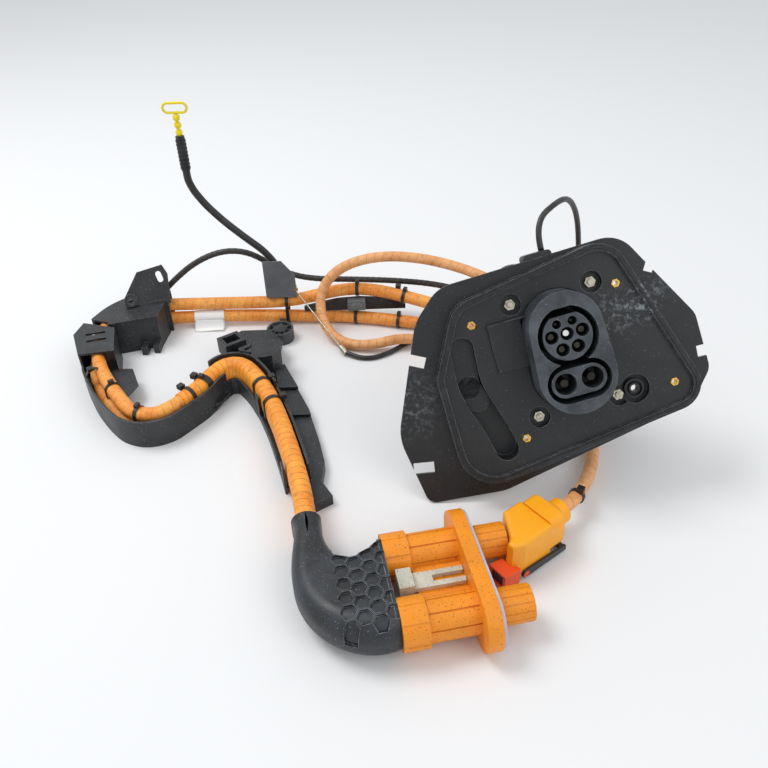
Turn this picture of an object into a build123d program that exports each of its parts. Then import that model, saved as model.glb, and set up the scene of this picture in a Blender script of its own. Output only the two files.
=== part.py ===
import os
from math import cos, pi, radians, sin, tan

from build123d import *

# A vehicle-side charging harness: a combined charging inlet in its moulded panel, the high-voltage
# cables with their trays and clips, the dual direct-current connector with its elbow boot, the
# alternating-current connector with its lever, and the emergency release cable with its pull ring.
# All lengths in millimetres. X runs right, Y away from the front, Z up, and the floor is Z = 0.

# Places below are given from a mark beside the middle of the footprint, which lies this far from the origin
origin_shift = (13.2, -6.7, 0.0)

# Panel, in its own plane: X right along it, Y up it, Z out of its face
panel_centre = (211.3, -34.6, 155.0)
panel_lean = 28.0
panel_yaw = -1.9
panel_roll = 15.4
panel_wall = 3.0
flange_drop = 16.0
lip_height = 4.0
lip_width = 2.2
lip_groove = 3.0
panel_outline = [(-178, -124), (-190, -45), (-140, 68), (-108, 97), (84, 99), (104, 63), (141, -2), (143, -62),
                 (118, -93), (-95, -132)]
panel_corners = [12, 55, 45, 38, 34, 25, 22, 18, 25, 40]
lip_outline = [(-132, -120), (-132.5, 5), (-97.6, 73), (69, 98), (131, -85)]
lip_corners = [38, 20, 30, 30, 25]
flange_slots = [((-151, 30), 62, 12, 22), ((-173, -84), 80, 12, 22)]
edge_notches = [((107, 58), 60, 12, 10), ((140, -42), 88, 12, 12)]

# Collar and sockets of the inlet
collar_height = 38.0
collar_top = (27.0, 36.0)
collar_bottom = (-21.5, 38.5)
collar_draft = 2.0
collar_clearance = 0.3
socket_floor = -30.0
socket_base = 8.0
island_top = 35.0
ac_centre = 19.0
ac_recess_radius = 29.8
ac_recess_flat = 28.5
ac_island_radius = 24.3
ac_island_flat = 20.5
ac_contact_centre = 21.0
ac_well_radius = 6.7
signal_well_radius = 4.5
power_contacts = [(0.0, 0.0), (-15.3, 0.0), (15.3, 0.0), (-7.7, -14.4), (7.7, -14.4)]
signal_contacts = [(-7.8, 11.2), (7.8, 11.2)]
dc_centre = -27.3
dc_pitch = 27.0
dc_recess = (64.0, 40.0)
dc_island_radius = 14.0
dc_well_radius = 11.0
well_floor = -4.0
power_pin_radius = 3.0
signal_pin_radius = 1.5
dc_pin_radius = 4.0
pin_tip = 28.0
pin_tail = 6.0
pin_clearance = 0.15

# Fastening of the inlet behind the panel
stud_spacing = (84.0, 120.5)
stud_radius = 3.0
stud_clearance = 0.3
stud_proud = 3.0
nut_across = 10.0
nut_height = 5.0
pocket_depth = 8.0
pocket_radius = 11.0
inlet_flange = (104.0, 140.0, 5.0)
insert_places = [(-85.2, 51.1), (65.3, 52.2), (99.7, -62.2), (-60.5, -78.3)]
insert_across = 8.0
insert_length = 10.0
insert_bore_radius = 2.6
insert_proud = 0.8
boss_wall = 2.5
round_pocket = (59.2, -58.0)
round_pocket_radius = 15.0
round_pocket_depth = 8.0
grommet_radius = 10.0
grommet_height = 6.0
grommet_bore = 3.6
long_pocket = [(-101, 30), (-104, -12), (-88, -60), (-83, -84)]
long_pocket_width = 24.0
long_pocket_depth = 22.0
seal_height = 4.6
seal_clearance = 0.2
pin_shoulder = 1.0

# Behind the inlet
rear_cover_size = (84.0, 108.0, 50.0)
rear_cover_wall = 2.5
actuator_size = (30.0, 40.0, 26.0)
actuator_gap = 0.3
actuator_foot = 6.0
lock_pin_radius = 3.0
lock_pin_reach = 1.0
lock_pin_length = 26.0
lock_pin_depth = -22.6
lock_pin_clearance = 0.3

# Cables: radii, gland sizes, and routes chosen by hand along the trays, ties and clips
dc_radius = 8.75
ac_radius = 7.2
conduit_radius = 4.5
release_radius = 3.2
bundle_size = (21.5, 39.0)
bundle_z = 27.0
dc_gland_length = 16.0
dc_gland_radius = 12.0
ac_gland_radius = 11.0

# Dual connector: axis direction, centre of its flange, and sizes along and across its axis
plug_yaw = 10.0
plug_centre = (101.0, -217.0, 29.0)
barrel_spacing = 76.0
barrel_radius = 20.0
barrel_length = 46.0
barrel_groove = 1.6
plug_flange = (152.0, 58.0, 14.0)
gasket_size = (148.0, 54.0, 3.0)
gasket_hole = (116.0, 40.0)
ring_radius = 23.6
ring_length = 24.0
ring_clearance = 0.3
ring_notches = 8
neck_radius = 17.0
neck_foot_radius = 12.5
neck_foot_length = 1.0
sleeve_radius = 17.0
sleeve_length = 36.0
sleeve_wall = 2.6
sleeve_ribs = 14
contact_radius = 4.5
contact_length = 24.0
tower_radius = 8.0
tower_length = 16.0
latch_bed_height = 6.0
latch_body = (18.0, 49.0, 5.0)
latch_pad = (22.0, 14.0, 12.0)
latch_slot = (7.0, 30.0)

# Elbow boot: sections as place, heading in degrees, width, height and corner
boot_sections = [((-57.0, -148.0, 27.0), -80.8, 30.2, 47.6, 14.8), ((-51.0, -186.0, 28.0), -76.0, 34.0, 46.0, 15.0),
                 ((-36.0, -222.0, 29.0), -42.0, 64.0, 44.0, 17.0), ((-8.0, -236.0, 29.0), -15.0, 98.0, 46.0, 20.0)]
boot_end = (112.0, 48.0, 22.0)
boot_wall = 4.0
boot_end_wall = 3.0
hex_pitch = 15.0
hex_rib = 1.8
hex_depth = 2.6

# Smaller connector: place of its cable exit, heading, and sizes back to front
ac_plug_exit = (200.8, -134.4, 27.0)
ac_plug_yaw = 37.0
ac_plug_width = 44.0
ac_plug_floor = 8.0
ac_plug_top = 49.0
ac_shell_start = 38.0
ac_shell_outline = [(38, -22), (62, -22), (80, 6), (88, 10), (88, 17), (76, 22), (38, 22)]
ac_foot = (60.0, 79.0, 4.0, 11.7)
ac_neck = (13.5, 10.0)
ac_shoulder = 20.0
ac_frame_outline = [(88.3, 5), (103, 2), (103, 24), (84, 26), (84, 22.3), (88.3, 17.3)]
ac_frame_height = (3.5, 23.0)
ac_face_size = (12.0, 15.0)
lever_pivot = (74.0, 8.0)
lever_boss = 4.5
lever_thickness = 3.0
lever_gap = 0.4
lever_tail = 17.0
lever_bar = 5.0
pivot_radius = 2.4
pivot_clearance = 0.05

# Trays and clips
tray_wall = 2.5
least_bend = 17.0
tray_clear = 25.0
tray_floor = 7.5
tie_width = 4.8
tie_thickness = 1.3
tie_gap = 0.1
slot_gap = 0.3
tie_head = (7.5, 6.0)
u_tray_runs = (19.82, 27.4)
u_tray_inside = (-250, 190)
u_tray_wing = [(-337, 138), (-324, 147), (-306, 146), (-290, 110), (-301, 78), (-311, 88), (-330, 118)]
u_tray_heights = (38.0, 23.0)
u_tray_skirts = [([(-243, 42), (-221, 57), (-186, 78), (-184, 90), (-220, 80), (-240, 60)], 3.0),
                 ([(-206, 66), (-181, 84), (-174, 100), (-178, 105), (-196, 96)], 8.0)]
peak_runs = (27.45, 30.8)
peak_inside = (-160, 20)
peak_heights = (46.0, 24.0)
peak_box = [(-142, 128), (-118, 133.5), (-109, 152), (-112, 172), (-146, 166), (-150, 152)]
peak_shelf = [(-192, 138), (-193, 205), (-172, 226), (-132, 226), (-112, 196), (-112, 166), (-142, 134)]
latch_frames = [((-176, 172), 35, 30, 26), ((-150, 148), 35, 22, 16)]
down_runs = (30.85, 34.7)
down_inside = (-170, -20)
down_heights = (38.0, 12.0)
down_flank = [(-116, 132), (-106, 148), (-89, 108), (-68, 56), (-53, 1), (-45, -36), (-47, -67), (-34, -90),
              (-53, -102), (-62, -70), (-66, -43), (-77, -3), (-88, 33), (-104, 72)]
down_steps = [(22.0, 160), (17.0, 96), (13.0, 46)]

# Bracket at the bend: tunnel over the cables, body in front of it, ear and boss
tunnel_route = [(-283, 290), (-306, 288), (-329, 279), (-351, 256), (-363, 224)]
tunnel_clear = 27.0
tunnel_wall = 3.0
tunnel_ceiling = 47.6
bracket_body = [(-352, 214), (-289, 233), (-285, 277), (-330, 268), (-350, 244)]
bracket_tabs = [(-309, 220), (-293, 224)]
bracket_tab = (8.0, 18.0, 12.0)
ear_place = (-300.0, 272.0, 50.0)
ear_yaw = 21.0
ear_lean = 25.0
ear_outline = [(-40, -6), (-40, 12), (-14, 46), (22, 50), (27, 36), (22, -6)]
ear_thickness = 5.0
ear_slot = (16.0, 8.0)
bush_place = (-31.0, 9.0)
bush_radius = 5.5
bush_bore = 3.25
bush_length = 16.0
boss_radius = 9.0
clip_box_outline = [(-391, 190), (-371, 143), (-326, 150), (-340, 206), (-386, 220)]
clip_clear = 32.0
clip_box_slots = [((-362, 192), 26, 6), ((-356, 176), 26, 6)]

# Fittings on the straight run behind
spacer_outline = [(-88, 20.5), (-88, 28), (-72, 32), (-40, 39.2), (-8, 41.2), (23, 39.2), (44, 34), (60, 30),
                  (60, 20.5)]
spacer_front = 283.0
spacer_thickness = 4.0
label_ends = ((-250.0, 288.0, 14.0), (-207.0, 289.0, 14.0))
label_gap = 0.35
label_thickness = 0.5
disc_place = (-121.0, 243.0)
disc_radius = 19.0
disc_height = 18.0
disc_strap = (8.0, 6.0, 15.0)

# Release cable, its bracket and its pull ring
release_bracket = ((-141.0, 282.5, 45.0), (44.0, 2.0, 58.0))
release_foot = 16.0
adjuster_place = (-98.0, 285.0, 55.0)
adjuster_radius = 4.0
adjuster_length = 20.0
adjuster_nut = 11.0
wire_radius = 1.0
wire_gap = 0.8
wire_end = (-28.0, 196.0, 5.8)
release_conduit_radius = 5.0
sleeve_foot = (-224.5, 290.0, 236.0)
grip_sleeve_radius = 6.5
grip_sleeve_height = 44.0
bead_radius = 4.6
ring_loop = (33.0, 15.0)
ring_bar = 3.2
ring_gap = 0.3


def fillet_radii(points, share=0.45):
    """Arc radius at each inner point: share of the shorter run over the tangent of half the turn."""
    radii = []
    for before, here, after in zip(points, points[1:], points[2:]):
        run_in = Vector(*here) - Vector(*before)
        run_out = Vector(*after) - Vector(*here)
        half_turn = radians(run_in.get_angle(run_out)) / 2
        radii.append(share * min(run_in.length, run_out.length) / tan(half_turn))
    return radii


def tube(name, points, radius):
    """A cable's tube along straight runs joined by tangent arcs, with its smallest arc printed."""
    radii = fillet_radii(points)
    with BuildPart() as cable:
        with BuildLine() as route:
            FilletPolyline(*points, radius=radii)
        with BuildSketch(Plane(origin=route.line @ 0, z_dir=route.line % 0)):
            Circle(radius)
        sweep()
    length = sum(edge.length for edge in route.line.edges())
    ratio = cable.part.volume / (pi * radius ** 2 * length)
    print(f"{name}: length {length:.0f}, smallest arc {min(radii):.0f}, volume ratio {ratio:.3f}")
    return cable


def save(piece, name):
    """Move a finished piece so that the origin is under the middle of the object, and write it."""
    placed = piece.part.moved(Location(origin_shift))
    placed.label = name
    export_step(placed, f"parts/{name}.step")


def field_face(grow):
    """The panel's raised field, grown by an amount."""
    with BuildSketch() as face:
        with BuildLine():
            FilletPolyline(*lip_outline, radius=lip_corners, close=True)
        make_face()
        offset(amount=grow)
    return face.sketch


def collar_face(grow=0.0):
    """Pear outline of the inlet's collar: two circles and their common tangents."""
    with BuildSketch() as face:
        with Locations((0, collar_top[0])):
            Circle(collar_top[1] + grow)
        with Locations((0, collar_bottom[0])):
            Circle(collar_bottom[1] + grow)
        make_hull()
    return face.sketch


def band(points, width):
    """Strip of one width along a plan route, with round bends and square ends."""
    radii = [max(radius, least_bend) for radius in fillet_radii([(*point, 0) for point in points])]
    with BuildSketch() as strip:
        with BuildLine():
            FilletPolyline(*points, radius=radii)
        trace(line_width=width)
    return strip.sketch


def polygon(points, grow=0.0):
    with BuildSketch() as face:
        with BuildLine():
            Polyline(*points, close=True)
        make_face()
        if grow:
            offset(amount=grow, kind=Kind.INTERSECTION)
    return face.sketch


def stretch(points, first, last):
    """Part of a plan route. Each end is a run's number plus the share of that run that lies before it."""
    ends = []
    for place in (first, last):
        here, following = points[int(place)], points[int(place) + 1]
        share = place - int(place)
        ends.append(tuple(a + share * (b - a) for a, b in zip(here, following)))
    return [ends[0]] + points[int(first) + 1:int(last) + 1] + [ends[1]]


def channel(points, heights, inside):
    """Tray along a plan route: walls down to the ground, a floor between them, and a lower inner wall."""
    with BuildPart() as rail:
        with BuildSketch():
            add(band(points, tray_clear + 2 * tray_wall))
        extrude(amount=heights[0])
        with BuildSketch(Plane.XY.offset(tray_floor)):
            add(band(points, tray_clear))
        extrude(amount=heights[0], mode=Mode.SUBTRACT)
        with BuildSketch():
            add(band(points, tray_clear))
        extrude(amount=tray_floor - tray_wall, mode=Mode.SUBTRACT)
        with BuildSketch(Plane.XY.offset(heights[1])):
            add(polygon(points + [inside]))
        extrude(amount=heights[0], mode=Mode.SUBTRACT)
    return rail.part


def across(place, heading):
    """Plane square to a level heading in degrees: X to its left, Y up."""
    along = (cos(radians(heading)), sin(radians(heading)), 0)
    return Plane(origin=place, x_dir=(-along[1], along[0], 0), z_dir=along)


def hull_round(circles, grow):
    with BuildSketch() as face:
        for x, y, radius in circles:
            with Locations((x, y)):
                Circle(radius + grow)
        if len(circles) > 1:
            make_hull()
    return face.sketch


def tie(place, heading, circles, head):
    """Cable tie: a flat band round circles of its own plane, with a head at one place of that plane."""
    plane = across(place, heading)
    with BuildPart() as band_tie:
        with BuildSketch(plane):
            add(hull_round(circles, tie_gap + tie_thickness))
        extrude(amount=tie_width / 2, both=True)
        with BuildSketch(plane):
            with Locations(head):
                Rectangle(*tie_head)
        extrude(amount=tie_head[0] / 2, both=True)
        with BuildSketch(plane):
            add(hull_round(circles, tie_gap))
        extrude(amount=tie_head[0], both=True, mode=Mode.SUBTRACT)
    return band_tie.part


def tie_slot(place, heading, circles, head):
    """Room for a cable tie and its head."""
    plane = across(place, heading)
    with BuildPart() as room:
        with BuildSketch(plane):
            add(hull_round(circles, tie_gap + tie_thickness + slot_gap))
        extrude(amount=tie_width / 2 + slot_gap, both=True)
        with BuildSketch(plane):
            with Locations(head):
                Rectangle(tie_head[0] + 2 * slot_gap, tie_head[1] + 2 * slot_gap)
        extrude(amount=tie_head[0] / 2 + slot_gap, both=True)
    return room.part


def long_pocket_face(grow=0.0):
    """The long bent pocket: a band round its centre line, with round ends."""
    with BuildSketch() as face:
        add(band(long_pocket, long_pocket_width + 2 * grow))
        with Locations(long_pocket[0], long_pocket[-1]):
            Circle(long_pocket_width / 2 + grow)
    return face.sketch


os.makedirs("parts", exist_ok=True)

panel_normal = Vector(0, -1, 0).rotate(Axis.X, -panel_lean).rotate(Axis.Z, panel_yaw)
panel_across = Vector(1, 0, 0).rotate(Axis.Z, panel_yaw).rotate(Axis((0, 0, 0), panel_normal), panel_roll)
panel = Plane(origin=panel_centre, x_dir=panel_across, z_dir=panel_normal)


def on_panel(x, y, z=0.0):
    place = panel.from_local_coords(Vector(x, y, z))
    return (place.X, place.Y, place.Z)


stud_places = [(sx * stud_spacing[0] / 2, sy * stud_spacing[1] / 2) for sx in (-1, 1) for sy in (-1, 1)]
flange_front = -pocket_depth - panel_wall
collar_base_grow = (collar_height - flange_front) * tan(radians(collar_draft))
flange_back = flange_front - inlet_flange[2]
housing_back = socket_floor - socket_base
cover_back = housing_back - rear_cover_size[2]

lock_bore_plane = Plane(origin=on_panel(0, ac_centre + ac_recess_flat - 1, lock_pin_depth), x_dir=panel_across,
                        z_dir=panel.y_dir)

# Mounting panel: one moulding with a raised field, a double lip, pockets, bosses and a set-back flange
with BuildPart() as mounting_panel:
    with BuildSketch(panel.offset(-flange_drop)):
        with BuildLine():
            FilletPolyline(*panel_outline, radius=panel_corners, close=True)
        make_face()
    extrude(amount=-panel_wall)
    with BuildSketch(panel.offset(-flange_drop - panel_wall)):
        add(field_face(lip_width))
    extrude(amount=flange_drop + panel_wall)
    with BuildSketch(panel.offset(-flange_drop - panel_wall)):
        add(field_face(lip_width - panel_wall))
    extrude(amount=flange_drop, mode=Mode.SUBTRACT)
    for place, turn, length, width in flange_slots + edge_notches:
        with BuildSketch(panel.offset(-flange_drop)):
            with Locations(Location(place, turn)):
                Rectangle(length, width)
        extrude(amount=-panel_wall, both=True, mode=Mode.SUBTRACT)
    # Pockets hang behind the field as cups of one wall
    with BuildSketch(panel.offset(-panel_wall)):
        add(long_pocket_face(panel_wall))
    extrude(amount=-long_pocket_depth)
    with BuildSketch(panel):
        add(long_pocket_face())
    extrude(amount=-long_pocket_depth, mode=Mode.SUBTRACT)
    with BuildSketch(panel.offset(-panel_wall)):
        with Locations(*stud_places):
            Circle(pocket_radius + panel_wall)
    extrude(amount=-pocket_depth)
    with BuildSketch(panel.offset(-panel_wall)):
        with Locations(round_pocket):
            Circle(round_pocket_radius + panel_wall)
    extrude(amount=-round_pocket_depth)
    with BuildSketch(panel):
        with Locations(*stud_places):
            Circle(pocket_radius)
    extrude(amount=-pocket_depth, mode=Mode.SUBTRACT)
    with BuildSketch(panel):
        with Locations(round_pocket):
            Circle(round_pocket_radius)
    extrude(amount=-round_pocket_depth, mode=Mode.SUBTRACT)
    with BuildSketch(panel.offset(-panel_wall)):
        with Locations(*insert_places):
            Circle(insert_across / 2 + boss_wall)
    extrude(amount=-insert_length)
    # Openings: the collar, the studs, the hexagonal insert seats and the grommet's bore
    with BuildSketch(panel):
        add(collar_face(collar_base_grow + collar_clearance))
    extrude(amount=-flange_drop, mode=Mode.SUBTRACT)
    with BuildSketch(panel):
        with Locations(*stud_places):
            Circle(stud_radius + stud_clearance)
        with Locations(*insert_places):
            RegularPolygon(insert_across / 2, 6, major_radius=False)
        with Locations(round_pocket):
            Circle(grommet_bore)
    extrude(amount=-flange_drop - panel_wall, mode=Mode.SUBTRACT)
    # Double lip round the field, with the groove of the rubber seal between
    for outer in (lip_width, -lip_groove):
        with BuildSketch(panel):
            add(field_face(outer))
            add(field_face(outer - lip_width), mode=Mode.SUBTRACT)
        extrude(amount=lip_height)
save(mounting_panel, "mounting_panel")

# Inlet: flange, tapered collar and socket moulded in one, with two islands of contact wells
with BuildPart() as inlet_housing:
    with BuildSketch(panel.offset(flange_front)):
        RectangleRounded(inlet_flange[0], inlet_flange[1], 2 * pocket_radius)
    extrude(amount=-inlet_flange[2])
    with BuildSketch(panel.offset(flange_front)):
        add(collar_face(collar_base_grow))
    extrude(amount=collar_height - flange_front, taper=collar_draft)
    with BuildSketch(panel.offset(flange_back)):
        add(collar_face())
    extrude(amount=housing_back - flange_back)
    with BuildSketch(panel.offset(collar_height)) as recess:
        with Locations((0, ac_centre)):
            Circle(ac_recess_radius)
        with Locations((0, ac_centre + ac_recess_flat + ac_recess_radius / 2)):
            Rectangle(2 * ac_recess_radius, ac_recess_radius, mode=Mode.SUBTRACT)
        with Locations((0, dc_centre)):
            SlotOverall(*dc_recess)
    extrude(amount=socket_floor - collar_height, mode=Mode.SUBTRACT)
    with BuildSketch(panel.offset(socket_floor)):
        with Locations((0, ac_centre)):
            Circle(ac_island_radius)
        with Locations((0, ac_centre + ac_island_flat + ac_island_radius / 2)):
            Rectangle(2 * ac_island_radius, ac_island_radius, mode=Mode.SUBTRACT)
        with Locations((0, dc_centre)):
            SlotCenterToCenter(dc_pitch, 2 * dc_island_radius)
    extrude(amount=island_top - socket_floor)
    with BuildSketch(panel.offset(island_top)):
        with Locations(*[(x, ac_contact_centre + y) for x, y in power_contacts]):
            Circle(ac_well_radius)
        with Locations(*[(x, ac_contact_centre + y) for x, y in signal_contacts]):
            Circle(signal_well_radius)
        with Locations((-dc_pitch / 2, dc_centre), (dc_pitch / 2, dc_centre)):
            Circle(dc_well_radius)
    extrude(amount=well_floor - island_top, mode=Mode.SUBTRACT)
    with BuildSketch(panel.offset(housing_back)):
        with Locations(*[(x, ac_contact_centre + y) for x, y in power_contacts]):
            Circle(power_pin_radius + pin_clearance)
        with Locations(*[(x, ac_contact_centre + y) for x, y in signal_contacts]):
            Circle(signal_pin_radius + pin_clearance)
        with Locations((-dc_pitch / 2, dc_centre), (dc_pitch / 2, dc_centre)):
            Circle(dc_pin_radius + pin_clearance)
    extrude(amount=well_floor - housing_back, mode=Mode.SUBTRACT)
    with BuildSketch(panel.offset(flange_front)):
        with Locations(*stud_places):
            Circle(stud_radius + pin_clearance)
    extrude(amount=-inlet_flange[2], mode=Mode.SUBTRACT)
    with BuildSketch(lock_bore_plane):
        Circle(lock_pin_radius + lock_pin_clearance)
    extrude(amount=collar_top[1], mode=Mode.SUBTRACT)
save(inlet_housing, "inlet_housing")

# Rubber seal in the groove between the lips
with BuildPart() as perimeter_seal:
    with BuildSketch(panel):
        add(field_face(-seal_clearance))
        add(field_face(seal_clearance - lip_groove), mode=Mode.SUBTRACT)
    extrude(amount=seal_height)
save(perimeter_seal, "perimeter_seal")


def contact_pins(places, radius):
    """Contact pins that stand in their wells, pass the socket's floor and end in tails behind it."""
    with BuildPart() as pins:
        with BuildSketch(panel.offset(housing_back - pin_tail)):
            with Locations(*places):
                Circle(radius)
        extrude(amount=pin_tip - housing_back + pin_tail)
        with BuildSketch(panel.offset(well_floor)):
            with Locations(*places):
                Circle(radius + pin_shoulder)
        extrude(amount=pin_shoulder)
    return pins


power_pins = contact_pins([(x, ac_contact_centre + y) for x, y in power_contacts], power_pin_radius)
save(power_pins, "power_pins")
signal_pins = contact_pins([(x, ac_contact_centre + y) for x, y in signal_contacts], signal_pin_radius)
save(signal_pins, "signal_pins")
dc_pins = contact_pins([(-dc_pitch / 2, dc_centre), (dc_pitch / 2, dc_centre)], dc_pin_radius)
save(dc_pins, "dc_pins")

# Studs through the inlet's flange and the pocket floors, headed behind, with hexagon nuts in front
with BuildPart() as inlet_studs:
    with BuildSketch(panel.offset(flange_back)):
        with Locations(*stud_places):
            Circle(stud_radius)
    extrude(amount=nut_height + stud_proud - pocket_depth - flange_back)
    with BuildSketch(panel.offset(flange_back)):
        with Locations(*stud_places):
            Circle(2 * stud_radius)
    extrude(amount=-stud_radius)
save(inlet_studs, "inlet_studs")

with BuildPart() as inlet_nuts:
    with BuildSketch(panel.offset(-pocket_depth)):
        with Locations(*stud_places):
            RegularPolygon(nut_across / 2, 6, major_radius=False)
            Circle(stud_radius + pin_clearance, mode=Mode.SUBTRACT)
    extrude(amount=nut_height)
save(inlet_nuts, "inlet_nuts")

with BuildPart() as threaded_inserts:
    with BuildSketch(panel.offset(insert_proud)):
        with Locations(*insert_places):
            RegularPolygon(insert_across / 2 - pin_clearance, 6, major_radius=False)
            Circle(insert_bore_radius, mode=Mode.SUBTRACT)
    extrude(amount=-insert_length)
save(threaded_inserts, "threaded_inserts")

# Rubber grommet in the round pocket
with BuildPart() as pocket_grommet:
    with BuildSketch(panel.offset(-round_pocket_depth)):
        with Locations(round_pocket):
            Circle(grommet_radius)
            Circle(grommet_bore, mode=Mode.SUBTRACT)
    extrude(amount=grommet_height)
    with BuildSketch(panel.offset(-round_pocket_depth + grommet_height)):
        with Locations(round_pocket):
            Circle(grommet_radius - 2)
            Circle(grommet_bore + 2, mode=Mode.SUBTRACT)
    extrude(amount=2 - grommet_height, mode=Mode.SUBTRACT)
save(pocket_grommet, "pocket_grommet")

# Rear cover: a box shell over the contact tails, open to the housing
with BuildPart() as inlet_rear_cover:
    with BuildSketch(panel.offset(housing_back)):
        RectangleRounded(rear_cover_size[0], rear_cover_size[1], 16)
    extrude(amount=-rear_cover_size[2], taper=2)
    with BuildSketch(panel.offset(housing_back)):
        RectangleRounded(rear_cover_size[0] - 2 * rear_cover_wall - 4, rear_cover_size[1] - 2 * rear_cover_wall - 4, 14)
    extrude(amount=rear_cover_wall - rear_cover_size[2], taper=2, mode=Mode.SUBTRACT)
    with BuildSketch(panel.offset(cover_back)):
        with Locations((-dc_pitch / 2, dc_centre), (dc_pitch / 2, dc_centre)):
            Circle(dc_radius)
        with Locations((0, ac_contact_centre)):
            Circle(ac_radius)
    extrude(amount=rear_cover_wall, mode=Mode.SUBTRACT)
save(inlet_rear_cover, "inlet_rear_cover")

# Ribbed cable glands on the rear cover
with BuildPart() as dc_glands:
    with BuildSketch(panel.offset(cover_back)):
        with Locations((-dc_pitch / 2, dc_centre), (dc_pitch / 2, dc_centre)):
            Circle(dc_gland_radius)
    extrude(amount=-dc_gland_length, taper=4)
save(dc_glands, "dc_glands")

with BuildPart() as ac_gland:
    with BuildSketch(panel.offset(cover_back)):
        with Locations((0, ac_contact_centre)):
            Circle(ac_gland_radius)
    extrude(amount=-dc_gland_length, taper=4)
save(ac_gland, "ac_gland")

# Lock actuator above the socket, behind the panel, and the pin that holds an inserted connector
actuator_y = collar_top[0] + collar_top[1] + actuator_gap
actuator_top = flange_back - panel_wall - actuator_gap
lock_pin_tip = ac_centre + ac_recess_flat + lock_pin_reach
pin_plane = Plane(origin=on_panel(0, lock_pin_tip, lock_pin_depth), x_dir=panel_across, z_dir=panel.y_dir)
with BuildPart() as lock_actuator:
    with BuildSketch(panel.offset(actuator_top)):
        with Locations((0, actuator_y + actuator_size[1] / 2)):
            RectangleRounded(actuator_size[0], actuator_size[1], 4)
    extrude(amount=-actuator_size[2])
    with BuildSketch(panel.offset(flange_back)):
        with Locations((0, actuator_y + actuator_foot / 2)):
            Rectangle(actuator_size[0] - 4, actuator_foot)
    extrude(amount=actuator_top - flange_back)
    with BuildSketch(pin_plane):
        Circle(lock_pin_radius + lock_pin_clearance)
    extrude(amount=lock_pin_length + actuator_gap, mode=Mode.SUBTRACT)
save(lock_actuator, "lock_actuator")

with BuildPart() as lock_pin:
    with BuildSketch(pin_plane):
        Circle(lock_pin_radius)
    extrude(amount=lock_pin_length)
save(lock_pin, "lock_pin")

# Cable routes
gland_end = cover_back - dc_gland_length


def behind(x, y, back=0.0):
    return on_panel(x, y, gland_end - back)


dc_upper_route = [behind(-dc_pitch / 2, dc_centre), behind(-dc_pitch / 2, dc_centre, 32), (205, 108, 53),
                  (192, 152, 45), (166, 196, 42), (132, 232, 42), (94, 257, 43), (59, 275, 45), (23, 287, 49),
                  (-8, 292, 51), (-40, 292, 49), (-72, 290.5, 42), (-105, 291, 35), (-150, 293, 32),
                  (-205, 293.5, 32.5), (-250, 293, 33), (-292, 291, 34.5), (-328, 281, 36), (-352, 256, 37),
                  (-362, 220, 38), (-358, 178, 37.5), (-344, 135, 37), (-323, 99, 36.5), (-303, 70, 36),
                  (-283, 42, 36), (-260.5, 30, 36), (-238.5, 33.6, 36), (-222, 55, 36)]
dc_lower_route = [behind(dc_pitch / 2, dc_centre), behind(dc_pitch / 2, dc_centre, 30), (238, 106, 50),
                  (231, 150, 26), (206, 190, 14), (168, 222, 10), (124, 243, 9.5), (81, 257, 10), (38, 269, 10),
                  (-8, 280, 10.5), (-60, 286, 10), (-105, 288, 11), (-150, 288, 13), (-205, 289, 14),
                  (-250, 288, 14), (-292, 286, 15), (-328, 277, 16.5), (-353, 254, 17), (-365, 218, 18),
                  (-363, 174, 17.5), (-349, 129, 18), (-326, 88, 18.5), (-302, 56, 18), (-282, 35, 18),
                  (-260, 26.5, 18), (-238.5, 33.6, 18), (-222, 55, 18)]
bundle_route = [(-222, 55), (-205, 77), (-194, 106), (-179, 129), (-156, 129), (-136, 102), (-117, 64),
                (-102, 26), (-91, -8), (-80, -44), (-70, -80), (-62, -115), (-56, -152)]
ac_route = [behind(0, ac_contact_centre), behind(0, ac_contact_centre, 28), (210, 132, 104), (199, 177, 97),
            (180, 220, 93), (153, 252, 93), (119, 273, 96), (82, 285, 100), (42, 291, 102), (6, 291, 99.5),
            (-27, 288, 90), (-50, 284, 73), (-62, 276, 52), (-63, 262, 33), (-56, 243, 18.5), (-42, 224, 10.5),
            (-19, 208, 8.4), (12, 203, 11), (46, 207, 17.5), (82, 213, 11), (122, 208, 8.1), (164, 190, 8),
            (205, 160, 8.1), (238, 119, 8), (259, 74, 8.1), (268, 29, 8), (266, -10, 8.5), (257, -45, 11),
            (245, -75, 15), (230, -101, 21), (215.41, -123.39, 27), ac_plug_exit]

dc_cable_upper = tube("dc_cable_upper", dc_upper_route, dc_radius)
save(dc_cable_upper, "dc_cable_upper")
dc_cable_lower = tube("dc_cable_lower", dc_lower_route, dc_radius)
save(dc_cable_lower, "dc_cable_lower")
ac_cable = tube("ac_cable", ac_route, ac_radius)
save(ac_cable, "ac_cable")

# Taped stretch where both cables run one above the other in a single wrap
bundle_points = [(x, y, bundle_z) for x, y in bundle_route]
with BuildPart() as taped_bundle:
    with BuildLine() as bundle_line:
        FilletPolyline(*bundle_points, radius=fillet_radii(bundle_points))
    with BuildSketch(Plane(origin=bundle_line.line @ 0, x_dir=(0, 0, 1), z_dir=bundle_line.line % 0)):
        SlotOverall(bundle_size[1], bundle_size[0])
    sweep()
save(taped_bundle, "taped_bundle")

# Label sleeve round the lower cable
label_axis = Vector(*label_ends[1]) - Vector(*label_ends[0])
with BuildPart() as label_sleeve:
    with BuildSketch(Plane(origin=label_ends[0], z_dir=label_axis)):
        Circle(dc_radius + label_gap + label_thickness)
        Circle(dc_radius + label_gap, mode=Mode.SUBTRACT)
    extrude(amount=label_axis.length)
save(label_sleeve, "label_sleeve")

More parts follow.
